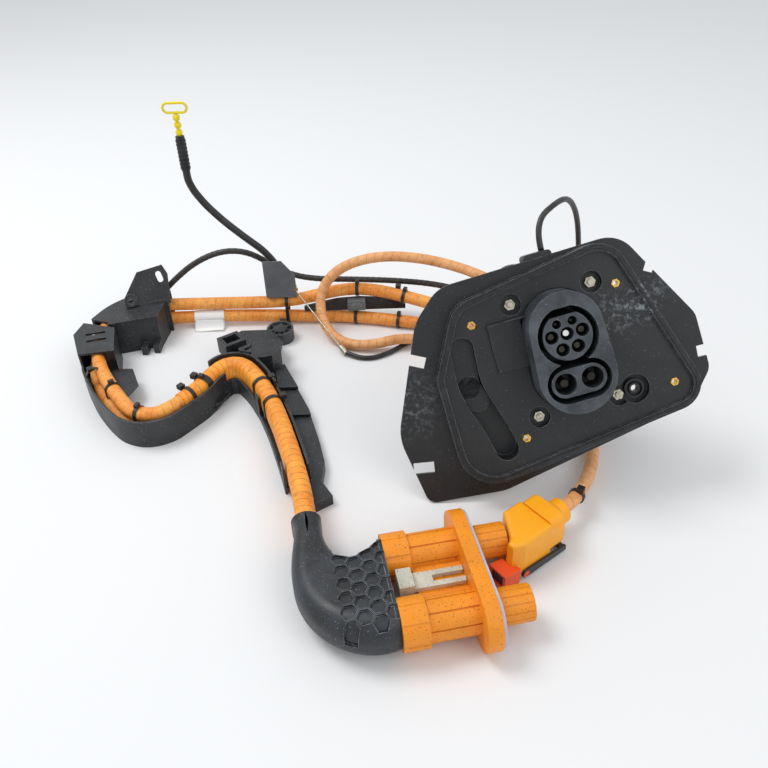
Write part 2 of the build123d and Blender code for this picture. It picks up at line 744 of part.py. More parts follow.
# Ties round the two cables and round the taped bundle
upper_over_lower = [((-113, 291, 0), 180, [(0, 34.3, dc_radius), (3, 11.2, dc_radius)], (-10, 24)),
                    ((50, 285, 0), 172, [(0, 45.7, dc_radius)], (0, 56)),
                    ((-340, 118, 0), -58, [(-5, 36.9, dc_radius), (1, 18.2, dc_radius)], (-8, 46))]
with BuildPart() as cable_ties:
    for one in upper_over_lower:
        add(tie(*one))
    add(dc_cable_upper.part, mode=Mode.SUBTRACT)
    add(dc_cable_lower.part, mode=Mode.SUBTRACT)
save(cable_ties, "cable_ties")

bundle_circles = [(0, bundle_z + side * (bundle_size[1] - bundle_size[0]) / 2, bundle_size[0] / 2)
                  for side in (-1, 1)]
bundle_tie_places = [((-213.5, 66, 0), 53), ((-199.5, 91.5, 0), 69), ((-126.5, 83, 0), -63), ((-109.5, 45, 0), -68)]
bundle_tie_sets = [(place, heading, bundle_circles, (bundle_size[0] / 2 + 3, 44))
                   for place, heading in bundle_tie_places]
with BuildPart() as bundle_ties:
    for one in bundle_tie_sets:
        add(tie(*one))
    add(taped_bundle.part, mode=Mode.SUBTRACT)
save(bundle_ties, "bundle_ties")
tie_rooms = [tie_slot(*one) for one in upper_over_lower + bundle_tie_sets]

# Trays follow the lower cable and the taped bundle, each along a stretch of its own
tray_plan = [(x, y) for x, y, z in dc_lower_route[:-1]] + bundle_route[1:]
u_tray_route = stretch(tray_plan, *u_tray_runs)
peak_route = stretch(tray_plan, *peak_runs)
down_route = stretch(tray_plan, *down_runs)

# Tray round the bend, with its wing and skirts
with BuildPart() as u_tray:
    add(channel(u_tray_route, u_tray_heights, u_tray_inside))
    with BuildSketch(Plane.XY.offset(u_tray_heights[1] - tray_wall)):
        add(polygon(u_tray_wing))
        add(band(u_tray_route, tray_clear + tray_wall), mode=Mode.SUBTRACT)
    extrude(amount=tray_wall)
    for outline, height in u_tray_skirts:
        with BuildSketch(Plane.XY.offset(height)):
            add(polygon(outline))
            add(band(u_tray_route, tray_clear + tray_wall), mode=Mode.SUBTRACT)
        extrude(amount=tray_wall)
    for room in tie_rooms:
        add(room, mode=Mode.SUBTRACT)
save(u_tray, "u_tray")

# Tray over the peak of the route, with its box and shelf
with BuildPart() as peak_tray:
    add(channel(peak_route, peak_heights, peak_inside))
    with BuildSketch():
        add(polygon(peak_box))
        add(band(peak_route, tray_clear + tray_wall), mode=Mode.SUBTRACT)
    extrude(amount=peak_heights[0])
    with BuildSketch():
        add(polygon(peak_box, -tray_wall))
        add(band(peak_route, tray_clear + 2 * tray_wall), mode=Mode.SUBTRACT)
    extrude(amount=peak_heights[0] - tray_wall, mode=Mode.SUBTRACT)
    with BuildSketch(Plane.XY.offset(peak_heights[1])):
        add(polygon(peak_shelf))
        add(polygon(peak_box, -tray_wall / 2), mode=Mode.SUBTRACT)
        add(band(peak_route, tray_clear + tray_wall), mode=Mode.SUBTRACT)
    extrude(amount=tray_wall)
    for room in tie_rooms:
        add(room, mode=Mode.SUBTRACT)
save(peak_tray, "peak_tray")

# Snap frames of the latch on the peak tray
with BuildPart() as box_latch:
    for place, turn, length, width in latch_frames:
        with BuildSketch(Plane.XY.offset(peak_heights[1] + tray_wall)):
            with Locations(Location(place, turn)):
                Rectangle(length, width)
                Rectangle(length - 4 * tray_wall, width - 4 * tray_wall, mode=Mode.SUBTRACT)
            add(band(peak_route, tray_clear + 2 * tray_wall), mode=Mode.SUBTRACT)
            add(polygon(peak_box), mode=Mode.SUBTRACT)
        extrude(amount=peak_heights[0] - peak_heights[1])
save(box_latch, "box_latch")

# Tray beside the taped bundle: a channel with a stepped flank
with BuildPart() as down_tray:
    add(channel(down_route, down_heights, down_inside))
    with BuildSketch():
        add(polygon(down_flank))
        add(band(down_route, tray_clear + tray_wall), mode=Mode.SUBTRACT)
    extrude(amount=down_steps[0][0] + 2 * tray_wall)
    for (top, start), (lower, stop) in zip(down_steps, down_steps[1:] + [(0, -120)]):
        with BuildSketch(Plane.XY.offset(top)):
            with Locations((-80, (start + stop) / 2)):
                Rectangle(110, start - stop)
            add(band(down_route, tray_clear + 2 * tray_wall), mode=Mode.SUBTRACT)
        extrude(amount=down_heights[0], mode=Mode.SUBTRACT)
        with BuildSketch():
            add(polygon(down_flank, -tray_wall))
            add(band(down_route, tray_clear + 2 * tray_wall), mode=Mode.SUBTRACT)
            with Locations((-80, stop - 120)):
                Rectangle(200, 240, mode=Mode.SUBTRACT)
        extrude(amount=top - tray_wall, mode=Mode.SUBTRACT)
    for room in tie_rooms:
        add(room, mode=Mode.SUBTRACT)
save(down_tray, "down_tray")

# Bracket at the bend: a tunnel over both cables, a hollow body, tabs, an ear and a boss
ear_normal = Vector(0, -1, 0).rotate(Axis.X, -ear_lean).rotate(Axis.Z, ear_yaw)
ear = Plane(origin=ear_place, x_dir=Vector(1, 0, 0).rotate(Axis.Z, ear_yaw), z_dir=ear_normal)
with BuildPart() as left_bracket:
    with BuildSketch():
        add(band(tunnel_route, tunnel_clear + 2 * tunnel_wall))
        add(polygon(bracket_body))
    extrude(amount=tunnel_ceiling + tunnel_wall)
    with BuildSketch(ear):
        add(polygon(ear_outline))
    extrude(amount=-ear_thickness)
    with BuildSketch(ear):
        with Locations(bush_place):
            Circle(boss_radius)
    extrude(amount=(bush_length - ear_thickness) / 2)
    with BuildSketch(ear):
        with Locations(bush_place):
            Circle(boss_radius)
    extrude(amount=-(bush_length + ear_thickness) / 2)
    with BuildSketch():
        add(band(tunnel_route, tunnel_clear))
        add(polygon(bracket_body, -tunnel_wall))
    extrude(amount=tunnel_ceiling, mode=Mode.SUBTRACT)
    with BuildSketch():
        with Locations(*bracket_tabs):
            Rectangle(*bracket_tab[:2])
    extrude(amount=bracket_tab[2])
    with BuildSketch(ear):
        with Locations(Location((15, 34), 100)):
            SlotOverall(*ear_slot)
        with Locations(bush_place):
            Circle(bush_radius)
    extrude(amount=bush_length, both=True, mode=Mode.SUBTRACT)
save(left_bracket, "left_bracket")

with BuildPart() as bracket_bush:
    with BuildSketch(ear.offset((bush_length - ear_thickness) / 2)):
        with Locations(bush_place):
            Circle(bush_radius)
            Circle(bush_bore, mode=Mode.SUBTRACT)
    extrude(amount=-bush_length)
save(bracket_bush, "bracket_bush")

# Clip box that closes round the cables after the bend
clip_route = [(-361, 232), (-364, 200), (-361, 172), (-350, 136)]
with BuildPart() as clip_box:
    with BuildSketch():
        add(polygon(clip_box_outline))
    extrude(amount=tunnel_ceiling + tunnel_wall)
    with BuildSketch(Plane.XY.offset(tunnel_wall)):
        add(band(clip_route, clip_clear))
    extrude(amount=tunnel_ceiling - tunnel_wall, mode=Mode.SUBTRACT)
    for place, length, width in clip_box_slots:
        with BuildSketch(Plane.XY.offset(tunnel_ceiling)):
            with Locations(Location(place, 15)):
                Rectangle(length, width)
        extrude(amount=tunnel_wall, mode=Mode.SUBTRACT)
save(clip_box, "clip_box")

# Spacer plate between the two cables, disc clip with its strap
with BuildPart() as cable_spacer:
    with BuildSketch(Plane(origin=(0, spacer_front, 0), x_dir=(1, 0, 0), z_dir=(0, -1, 0))):
        add(polygon(spacer_outline))
    extrude(amount=-spacer_thickness)
save(cable_spacer, "cable_spacer")

with BuildPart() as disc_clip:
    with BuildSketch():
        with Locations(disc_place):
            Circle(disc_radius)
    extrude(amount=disc_height)
    with BuildSketch(Plane.XY.offset(tray_wall)):
        with Locations(disc_place):
            Circle(disc_radius - tray_wall)
            Circle(disc_radius / 2, mode=Mode.SUBTRACT)
    extrude(amount=disc_height, mode=Mode.SUBTRACT)
    with BuildSketch(Plane.XY.offset(tray_wall)):
        with Locations(disc_place):
            with PolarLocations(disc_radius * 0.7, 8):
                Rectangle(disc_radius * 0.6, 2)
            SlotOverall(12, 6, rotation=80, mode=Mode.SUBTRACT)
    extrude(amount=disc_height - 2 * tray_wall)
    with BuildSketch(Plane.XY.offset(disc_strap[1])):
        with Locations((disc_place[0], disc_place[1] + disc_radius + disc_strap[2] / 2)):
            Rectangle(disc_strap[0], disc_strap[2] + 4)
    extrude(amount=disc_strap[1])
save(disc_clip, "disc_clip")

# Signal conduit and release cable
signal_route = [(-289, 300, 55), (-262, 302, 80), (-229, 303, 101), (-199, 304, 111), (-171, 305, 110),
                (-148, 306, 99), (-126, 308, 80), (-98, 309, 65), (-64, 309, 59), (-28, 308, 58), (8, 306, 57),
                (44, 301, 57), (79, 292, 58), (112, 277, 60), (140, 254, 63), (160, 226, 70), (169, 199, 84),
                (167, 172, 107), (163, 146, 134), (164, 119, 160), (170, 94, 183),
                on_panel(-8, actuator_y + 26, actuator_top - actuator_size[2] - 14),
                on_panel(-8, actuator_y + 26, actuator_top - actuator_size[2])]
signal_conduit = tube("signal_conduit", signal_route, conduit_radius)
save(signal_conduit, "signal_conduit")

release_route = [on_panel(8, actuator_y + actuator_size[1], actuator_top - 14),
                 on_panel(8, actuator_y + actuator_size[1] + 30, actuator_top - 14), (218, 88, 266),
                 (236, 112, 256), (252, 135, 228), (262, 149, 192), (268, 157, 153), (270, 162, 114),
                 (268, 165, 76), (264, 168, 42), (254, 171, 17), (236, 174, 5), (212, 179, 3.4), (186, 190.5, 3.5),
                 (151, 208, 3.3), (120, 226, 3.4), (90, 234, 3.3), (66, 224, 3.5), (49, 207, 3.4),
                 (31, 191, 3.6), (9, 181, 3.5), (-12, 184, 4), wire_end]
release_cable = tube("release_cable", release_route, release_radius)
save(release_cable, "release_cable")

wire_way = Vector(*adjuster_place) - Vector(*wire_end)
with BuildPart() as pull_wire:
    with BuildSketch(Plane(origin=wire_end, z_dir=wire_way).offset(wire_gap)):
        Circle(wire_radius)
    extrude(amount=wire_way.length - wire_gap)
save(pull_wire, "pull_wire")

with BuildPart() as adjuster:
    with BuildSketch(Plane(origin=adjuster_place, z_dir=wire_way)):
        Circle(adjuster_radius)
    extrude(amount=adjuster_length)
    with BuildSketch(Plane(origin=adjuster_place, z_dir=wire_way).offset(adjuster_length / 3)):
        RegularPolygon(adjuster_nut / 2, 6, major_radius=False)
    extrude(amount=adjuster_radius)
save(adjuster, "adjuster")

(bracket_x, bracket_y, bracket_z), (bracket_long, bracket_thick, bracket_tall) = release_bracket
with BuildPart() as metal_bracket:
    with BuildSketch(Plane(origin=(bracket_x, bracket_y, bracket_z), x_dir=(1, 0, 0), z_dir=(0, -1, 0))):
        add(polygon([(0, 0), (bracket_long, 0), (bracket_long, bracket_tall * 0.6), (bracket_long * 0.6, bracket_tall),
                     (0, bracket_tall)]))
    extrude(amount=-bracket_thick)
    with BuildSketch(Plane.XY.offset(bracket_z)):
        with Locations((bracket_x + bracket_long / 2, bracket_y + release_foot / 2)):
            Rectangle(bracket_long, release_foot)
    extrude(amount=bracket_thick)
    with BuildSketch(Plane(origin=adjuster_place, z_dir=wire_way)):
        Circle(adjuster_radius + pin_clearance)
    extrude(amount=adjuster_length, both=True, mode=Mode.SUBTRACT)
save(metal_bracket, "metal_bracket")

conduit_route = [(-121, 290, 84), (-125, 290, 99), (-139, 290.5, 118), (-161, 290, 138), (-187, 290.5, 163),
                 (-207, 290, 187), (-219.5, 290.5, 207), (-224.5, 290, 222), sleeve_foot]
release_conduit = tube("release_conduit", conduit_route, release_conduit_radius)
save(release_conduit, "release_conduit")

with BuildPart() as grip_sleeve:
    with BuildSketch(Plane.XY.offset(sleeve_foot[2])):
        with Locations(sleeve_foot[:2]):
            Circle(grip_sleeve_radius - 0.8)
    extrude(amount=grip_sleeve_height)
    for step in range(8):
        with BuildSketch(Plane.XY.offset(sleeve_foot[2] + 2 + step * (grip_sleeve_height - 4) / 8)):
            with Locations(sleeve_foot[:2]):
                Circle(grip_sleeve_radius)
        extrude(amount=2.6)
save(grip_sleeve, "grip_sleeve")

sleeve_top = sleeve_foot[2] + grip_sleeve_height
with BuildPart() as bead_stem:
    with BuildSketch(Plane.XY.offset(sleeve_top + ring_gap)):
        with Locations(sleeve_foot[:2]):
            Circle(wire_radius * 1.5)
    extrude(amount=6 * bead_radius)
    with Locations(*[(sleeve_foot[0], sleeve_foot[1], sleeve_top + ring_gap + bead_radius * (1 + 2 * step))
                     for step in range(3)]):
        Sphere(bead_radius)
save(bead_stem, "bead_stem")

ring_centre = (sleeve_foot[0], sleeve_foot[1], sleeve_top + ring_gap + 6 * bead_radius + ring_loop[1] / 2)
ring_half = (ring_loop[0] - ring_loop[1]) / 2
ring_bend = (ring_loop[1] - ring_bar) / 2
with BuildPart() as pull_ring:
    with BuildLine(Plane(origin=ring_centre, x_dir=(1, 0, 0), z_dir=(0, -1, 0))) as ring_line:
        ring_top = Line((-ring_half, ring_bend), (ring_half, ring_bend))
        ThreePointArc((ring_half, ring_bend), (ring_half + ring_bend, 0), (ring_half, -ring_bend))
        Line((ring_half, -ring_bend), (-ring_half, -ring_bend))
        ThreePointArc((-ring_half, -ring_bend), (-ring_half - ring_bend, 0), (-ring_half, ring_bend))
    with BuildSketch(Plane(origin=ring_top @ 0, z_dir=ring_top % 0)):
        Circle(ring_bar / 2)
    sweep()
save(pull_ring, "pull_ring")

# Dual connector, in a plane across its axis: X along its width, Y up, Z toward the mating face
plug = across(plug_centre, plug_yaw)
half_flange = plug_flange[2] / 2
barrel_places = [(-barrel_spacing / 2, 0), (barrel_spacing / 2, 0)]
ring_start = half_flange + barrel_length + ring_clearance
neck_end = ring_start + ring_length + ring_clearance
plug_tail = neck_end + neck_foot_length + boot_end_wall
with BuildPart() as plug_body:
    with BuildSketch(plug.offset(-half_flange)):
        SlotOverall(plug_flange[0], plug_flange[1])
    extrude(amount=plug_flange[2])
    with BuildSketch(plug.offset(-half_flange)):
        with Locations(*barrel_places):
            Circle(barrel_radius)
    extrude(amount=-barrel_length)
    with BuildSketch(plug.offset(-half_flange)):
        with Locations(*barrel_places):
            with PolarLocations(barrel_radius, 8, start_angle=22.5):
                Rectangle(2 * barrel_groove, barrel_groove)
    extrude(amount=-barrel_length, mode=Mode.SUBTRACT)
    with BuildSketch(plug.offset(-half_flange - barrel_length)):
        with Locations(*barrel_places):
            Circle(neck_radius)
    extrude(amount=-ring_length - 2 * ring_clearance)
    with BuildSketch(plug.offset(-neck_end)):
        with Locations(*barrel_places):
            Circle(neck_foot_radius)
    extrude(amount=-neck_foot_length - boot_end_wall)
    with BuildSketch(plug.offset(-half_flange)):
        Rectangle(barrel_spacing - barrel_radius, latch_bed_height)
    extrude(amount=-barrel_length)
    with BuildSketch(plug.offset(-plug_tail)):
        with Locations(*barrel_places):
            Circle(dc_radius)
    extrude(amount=barrel_length, mode=Mode.SUBTRACT)
save(plug_body, "plug_body")

for side, name in ((1, "far_bayonet_ring"), (-1, "near_bayonet_ring")):
    with BuildPart() as bayonet_ring:
        with BuildSketch(plug.offset(-ring_start)):
            with Locations((side * barrel_spacing / 2, 0)):
                Circle(ring_radius)
                with PolarLocations(ring_radius, ring_notches):
                    Rectangle(1.6, 5, mode=Mode.SUBTRACT)
                Circle(neck_radius + ring_clearance, mode=Mode.SUBTRACT)
        extrude(amount=-ring_length)
    save(bayonet_ring, name)

with BuildPart() as flange_gasket:
    with BuildSketch(plug.offset(half_flange)):
        SlotOverall(gasket_size[0], gasket_size[1])
        SlotOverall(*gasket_hole, mode=Mode.SUBTRACT)
    extrude(amount=gasket_size[2])
save(flange_gasket, "flange_gasket")

with BuildPart() as contact_sleeves:
    with BuildSketch(plug.offset(half_flange)):
        with Locations(*barrel_places):
            Circle(sleeve_radius)
            with PolarLocations(sleeve_radius, sleeve_ribs):
                Rectangle(1.4, 1.6, mode=Mode.SUBTRACT)
            Circle(sleeve_radius - sleeve_wall, mode=Mode.SUBTRACT)
    extrude(amount=sleeve_length)
save(contact_sleeves, "contact_sleeves")

with BuildPart() as plug_contacts:
    with BuildSketch(plug.offset(half_flange)):
        with Locations(*barrel_places):
            Circle(contact_radius)
    extrude(amount=contact_length)
save(plug_contacts, "plug_contacts")

with BuildPart() as contact_towers:
    with BuildSketch(plug.offset(half_flange)):
        with Locations(*barrel_places):
            Circle(tower_radius)
            Circle(contact_radius, mode=Mode.SUBTRACT)
    extrude(amount=tower_length)
save(contact_towers, "contact_towers")

# Slide latch between the barrels: forked body with toothed edges and a serrated pad
latch_rise = latch_bed_height / 2 + tie_gap
with BuildPart() as slide_latch:
    with BuildSketch(plug.offset(-half_flange - 2 * ring_clearance)):
        with Locations((0, latch_rise + latch_body[2] / 2)):
            Rectangle(latch_body[0], latch_body[2])
    extrude(amount=-latch_body[1])
    with BuildSketch(plug.offset(-half_flange - 2 * ring_clearance)):
        with Locations((0, latch_rise + latch_body[2] / 2)):
            Rectangle(latch_slot[0], latch_body[2])
    extrude(amount=-latch_slot[1], mode=Mode.SUBTRACT)
    with BuildSketch(plug.offset(-half_flange - 2 * ring_clearance - latch_body[1])):
        with Locations((0, latch_rise + latch_pad[2] / 2)):
            Rectangle(latch_pad[0], latch_pad[2])
    extrude(amount=-latch_pad[1])
save(slide_latch, "slide_latch")

# Elbow boot: a bent shell from the taped bundle to both necks, with honeycomb pockets on its wide end
boot_foot = plug.offset(-neck_end)


def boot_form(shrink):
    """Outer form of the boot, shrunk all round by an amount."""
    with BuildPart() as form:
        for place, heading, width, height, corner in boot_sections:
            with BuildSketch(across(place, heading)):
                RectangleRounded(width - 2 * shrink, height - 2 * shrink, corner - shrink)
        with BuildSketch(boot_foot):
            RectangleRounded(boot_end[0] - 2 * shrink, boot_end[1] - 2 * shrink, boot_end[2] - shrink)
        loft()
    return form.part


with BuildPart() as honeycomb:
    with BuildSketch(Plane(origin=(2, -232, 29), x_dir=(1, 0, 0))):
        with Locations(Location((0, 0), 10)):
            with HexLocations(hex_pitch / 2, 4, 7, major_radius=False):
                RegularPolygon((hex_pitch - hex_rib) / 2, 6, major_radius=False)
    extrude(amount=boot_end[1])
    add(boot_form(hex_depth), mode=Mode.SUBTRACT)

with BuildPart() as elbow_boot:
    add(boot_form(0))
    add(honeycomb.part, mode=Mode.SUBTRACT)
    add(boot_form(boot_wall), mode=Mode.SUBTRACT)
    with BuildSketch(boot_foot):
        RectangleRounded(boot_end[0] - boot_wall, boot_end[1] - boot_wall, boot_end[2] - boot_wall)
    extrude(amount=-boot_end_wall)
    with BuildSketch(boot_foot):
        with Locations(*barrel_places):
            Circle(neck_foot_radius)
    extrude(amount=-boot_end_wall, mode=Mode.SUBTRACT)
    add(taped_bundle.part, mode=Mode.SUBTRACT)
    add(plug_body.part, mode=Mode.SUBTRACT)
save(elbow_boot, "elbow_boot")

# Smaller connector, in a plane across its axis: X to its left, Y up, Z toward the mating face
ac_axis = across(ac_plug_exit, 180 + ac_plug_yaw)
ac_way = ac_axis.z_dir
ac_top = Plane(origin=(ac_plug_exit[0], ac_plug_exit[1], 0), x_dir=ac_way, z_dir=(0, 0, 1))
ac_height = ac_plug_top - ac_plug_floor
ac_middle = (ac_plug_top + ac_plug_floor) / 2 - ac_plug_exit[2]

with BuildPart() as ac_backshell:
    with BuildSketch(ac_axis):
        Circle(ac_neck[0])
    extrude(amount=ac_neck[1])
    with BuildSketch(ac_axis.offset(ac_neck[1])):
        Circle(ac_neck[0])
    with BuildSketch(ac_axis.offset(ac_shoulder)):
        with Locations((0, ac_middle)):
            RectangleRounded(ac_plug_width, ac_height, 9)
    loft()
    with BuildSketch(ac_axis.offset(ac_shoulder)):
        with Locations((0, ac_middle)):
            RectangleRounded(ac_plug_width, ac_height, 9)
    extrude(amount=ac_shell_start - ac_shoulder)
save(ac_backshell, "ac_backshell")

# Shell of the smaller connector: its outline in plan, a low foot with the lever's pivots, a hollow front
foot_start, foot_end, foot_low, foot_high = ac_foot
with BuildPart() as ac_shell:
    with BuildSketch(ac_top.offset(ac_plug_floor)):
        add(polygon(ac_shell_outline))
    extrude(amount=ac_height)
    fillet(ac_shell.faces().sort_by(Axis.Z)[-1].edges(), 4)
    with BuildSketch(ac_top.offset(foot_low)):
        with Locations(((foot_start + foot_end) / 2, 0)):
            Rectangle(foot_end - foot_start, ac_plug_width)
    extrude(amount=foot_high - foot_low)
    with BuildSketch(ac_top.offset(foot_low)):
        add(polygon(ac_frame_outline))
    extrude(amount=ac_height, mode=Mode.SUBTRACT)
save(ac_shell, "ac_shell")

with BuildPart() as lever_pivots:
    for side in (-1, 1):
        with BuildSketch(Plane(origin=ac_top.from_local_coords((lever_pivot[0], side * ac_plug_width / 2,
                                                                lever_pivot[1])),
                               x_dir=ac_way, z_dir=ac_top.y_dir * side)):
            Circle(pivot_radius)
        extrude(amount=lever_gap + lever_thickness)
save(lever_pivots, "lever_pivots")

# Lever: two arms outside the shell, joined by a bar under the backshell
with BuildPart() as ac_lever:
    for side in (-1, 1):
        arm = Plane(origin=ac_top.from_local_coords((0, side * (ac_plug_width / 2 + lever_gap), 0)),
                    x_dir=ac_way, z_dir=ac_top.y_dir * side)
        with BuildSketch(arm):
            with Locations((lever_pivot[0], -side * lever_pivot[1])):
                Circle(lever_boss)
            add(polygon([(lever_tail, -side * 2), (lever_pivot[0], -side * (lever_pivot[1] - lever_boss)),
                         (lever_pivot[0], -side * (lever_pivot[1] + lever_boss)), (lever_tail, -side * 8)]))
            with Locations((lever_pivot[0], -side * lever_pivot[1])):
                Circle(pivot_radius + pivot_clearance, mode=Mode.SUBTRACT)
        extrude(amount=lever_thickness)
    with BuildSketch(ac_top.offset(2)):
        with Locations((lever_tail + lever_bar / 2, 0)):
            Rectangle(lever_bar, ac_plug_width + 2 * (lever_gap + lever_thickness))
    extrude(amount=lever_bar - 0.5)
save(ac_lever, "ac_lever")

# Lock frame and contact block at the mouth of the smaller connector
with BuildPart() as ac_lock_frame:
    with BuildSketch(ac_top.offset(ac_frame_height[0])):
        add(polygon(ac_frame_outline))
    extrude(amount=ac_frame_height[1] - ac_frame_height[0])
    with BuildSketch(ac_top.offset(ac_frame_height[0] + tray_wall)):
        with Locations((97, 13.5)):
            Rectangle(18, ac_face_size[1])
    extrude(amount=ac_frame_height[1] - ac_frame_height[0] - 2 * tray_wall, mode=Mode.SUBTRACT)
save(ac_lock_frame, "ac_lock_frame")

with BuildPart() as ac_contact_block:
    with BuildSketch(ac_top.offset(ac_frame_height[0] + tray_wall)):
        with Locations((95, 13.5)):
            Rectangle(ac_face_size[0], ac_face_size[1])
    extrude(amount=ac_frame_height[1] - ac_frame_height[0] - 2 * tray_wall)
save(ac_contact_block, "ac_contact_block")

with BuildPart() as ac_cable_tie:
    add(tie((222.7, -112.2, 0), 236, [(0, 23.8, ac_radius)], (3, 34)))
    add(ac_cable.part, mode=Mode.SUBTRACT)
save(ac_cable_tie, "ac_cable_tie")
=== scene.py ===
from math import pi, radians, sin

import bmesh
import bpy
from mathutils import Matrix, Vector


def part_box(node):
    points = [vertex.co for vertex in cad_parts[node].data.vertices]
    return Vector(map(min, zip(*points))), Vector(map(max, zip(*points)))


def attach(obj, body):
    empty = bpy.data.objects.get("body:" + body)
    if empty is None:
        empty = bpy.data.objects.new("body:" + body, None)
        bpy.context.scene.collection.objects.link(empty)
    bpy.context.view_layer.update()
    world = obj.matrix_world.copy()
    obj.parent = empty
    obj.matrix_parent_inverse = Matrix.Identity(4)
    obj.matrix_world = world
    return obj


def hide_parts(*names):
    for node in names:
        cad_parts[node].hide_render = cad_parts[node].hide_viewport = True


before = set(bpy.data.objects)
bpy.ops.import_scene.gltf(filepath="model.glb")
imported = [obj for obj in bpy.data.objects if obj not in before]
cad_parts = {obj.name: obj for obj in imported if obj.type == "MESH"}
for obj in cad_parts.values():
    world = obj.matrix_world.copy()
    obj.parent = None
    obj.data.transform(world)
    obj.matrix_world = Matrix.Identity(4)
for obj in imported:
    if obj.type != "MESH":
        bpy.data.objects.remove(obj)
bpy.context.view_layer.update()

# The camera stands in front of the harness and well above it, as one holds it over a part on a
# floor. It leans a little to one side, and sees the whole layout.
camera_place = (0.0382, -0.6767, 0.593)
camera_pitch = radians(36.7)
camera_lean = radians(-1.8)
camera = bpy.data.objects.new("camera", bpy.data.cameras.new("camera"))
bpy.context.scene.collection.objects.link(camera)
camera.data.sensor_width = 36.0
camera.data.lens = 35.3
camera.matrix_world = (Matrix.Translation(camera_place)
                       @ Matrix.Rotation(pi / 2 - camera_pitch, 4, "X")
                       @ Matrix.Rotation(camera_lean, 4, "Z"))
bpy.context.scene.camera = camera
bpy.context.scene.view_settings.view_transform = "Standard"

# High-voltage cables: shielded copper in orange silicone jackets, wound with thin cloth tape. Held
# all the way, they run from the inlet's glands along the back, round the bend and into the trays.
cable_radius = 0.00875
upper_route = [(0.2213, 0.0366, 0.0798), (0.2223, 0.0649, 0.0647), (0.2182, 0.1013, 0.053),
               (0.2052, 0.1453, 0.045), (0.1792, 0.1893, 0.042), (0.1452, 0.2253, 0.042),
               (0.1072, 0.2503, 0.043), (0.0722, 0.2683, 0.045), (0.0362, 0.2803, 0.049),
               (0.0052, 0.2853, 0.051), (-0.0268, 0.2853, 0.049), (-0.0588, 0.2838, 0.042),
               (-0.0918, 0.2843, 0.035), (-0.1368, 0.2863, 0.032), (-0.1918, 0.2868, 0.0325),
               (-0.2368, 0.2863, 0.033), (-0.2788, 0.2843, 0.0345), (-0.3148, 0.2743, 0.036),
               (-0.3388, 0.2493, 0.037), (-0.3488, 0.2133, 0.038), (-0.3448, 0.1713, 0.0375),
               (-0.3308, 0.1283, 0.037), (-0.3098, 0.0923, 0.0365), (-0.2898, 0.0633, 0.036),
               (-0.2698, 0.0353, 0.036), (-0.2473, 0.0233, 0.036), (-0.2253, 0.0269, 0.036),
               (-0.2088, 0.0483, 0.036)]
lower_route = [(0.2474, 0.0391, 0.0861), (0.2483, 0.0656, 0.072), (0.2512, 0.0993, 0.05),
               (0.2442, 0.1433, 0.026), (0.2192, 0.1833, 0.014), (0.1812, 0.2153, 0.01),
               (0.1372, 0.2363, 0.0095), (0.0942, 0.2503, 0.01), (0.0512, 0.2623, 0.01),
               (0.0052, 0.2733, 0.0105), (-0.0468, 0.2793, 0.01), (-0.0918, 0.2813, 0.011),
               (-0.1368, 0.2813, 0.013), (-0.1918, 0.2823, 0.014), (-0.2368, 0.2813, 0.014),
               (-0.2788, 0.2793, 0.015), (-0.3148, 0.2703, 0.0165), (-0.3398, 0.2473, 0.017),
               (-0.3518, 0.2113, 0.018), (-0.3498, 0.1673, 0.0175), (-0.3358, 0.1223, 0.018),
               (-0.3128, 0.0813, 0.0185), (-0.2888, 0.0493, 0.018), (-0.2688, 0.0283, 0.018),
               (-0.2468, 0.0198, 0.018), (-0.2253, 0.0269, 0.018), (-0.2088, 0.0483, 0.018)]
rings_per_span = 20
cable_half_sides = 9
cable_tape_pitch = 0.011
cable_tape_step = 0.00015
# Scales of the jackets' patterns, in cells to the metre: smears about 24 mm across, tape edges that
# wander over 11 mm, grit of 1.6 mm, and threads 0.7 mm apart, coarser than the cloth's so that they
# show
smear_scale = 42.0
wander_scale = 90.0
wander_reach = 0.22
grit_scale = 620.0
thread_scale = 450.0
smudge_stretch = (160.0, 9.0, 1.0)


def smooth_line(name, route, radius=0.0, half_sides=6):
    """Mesh of a smooth line through a route: the bare line, or a tube round it."""
    curve = bpy.data.curves.new(name, "CURVE")
    curve.dimensions = "3D"
    curve.twist_mode = "Z_UP"
    curve.resolution_u = rings_per_span
    spline = curve.splines.new("NURBS")
    spline.points.add(len(route) - 1)
    for point, place in zip(spline.points, route):
        point.co = (*place, 1.0)
    spline.order_u = 3
    spline.use_endpoint_u = True
    curve.bevel_depth = radius
    curve.bevel_resolution = half_sides - 2
    holder = bpy.data.objects.new(name, curve)
    bpy.context.scene.collection.objects.link(holder)
    mesh = bpy.data.meshes.new_from_object(holder.evaluated_get(bpy.context.evaluated_depsgraph_get()))
    bpy.data.objects.remove(holder)
    return mesh


def show(name, mesh, body="harness", smooth=True):
    """Put a finished mesh in the scene as a piece that rides on a body."""
    for face in mesh.polygons:
        face.use_smooth = smooth
    piece = bpy.data.objects.new(name, mesh)
    bpy.context.scene.collection.objects.link(piece)
    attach(piece, body)
    return piece


def drawn_out(offset, radius, height):
    """How far a point of a round section moves when the section is made taller, with straight sides."""
    return height / 2 * max(-1.0, min(1.0, 3 * offset / radius))


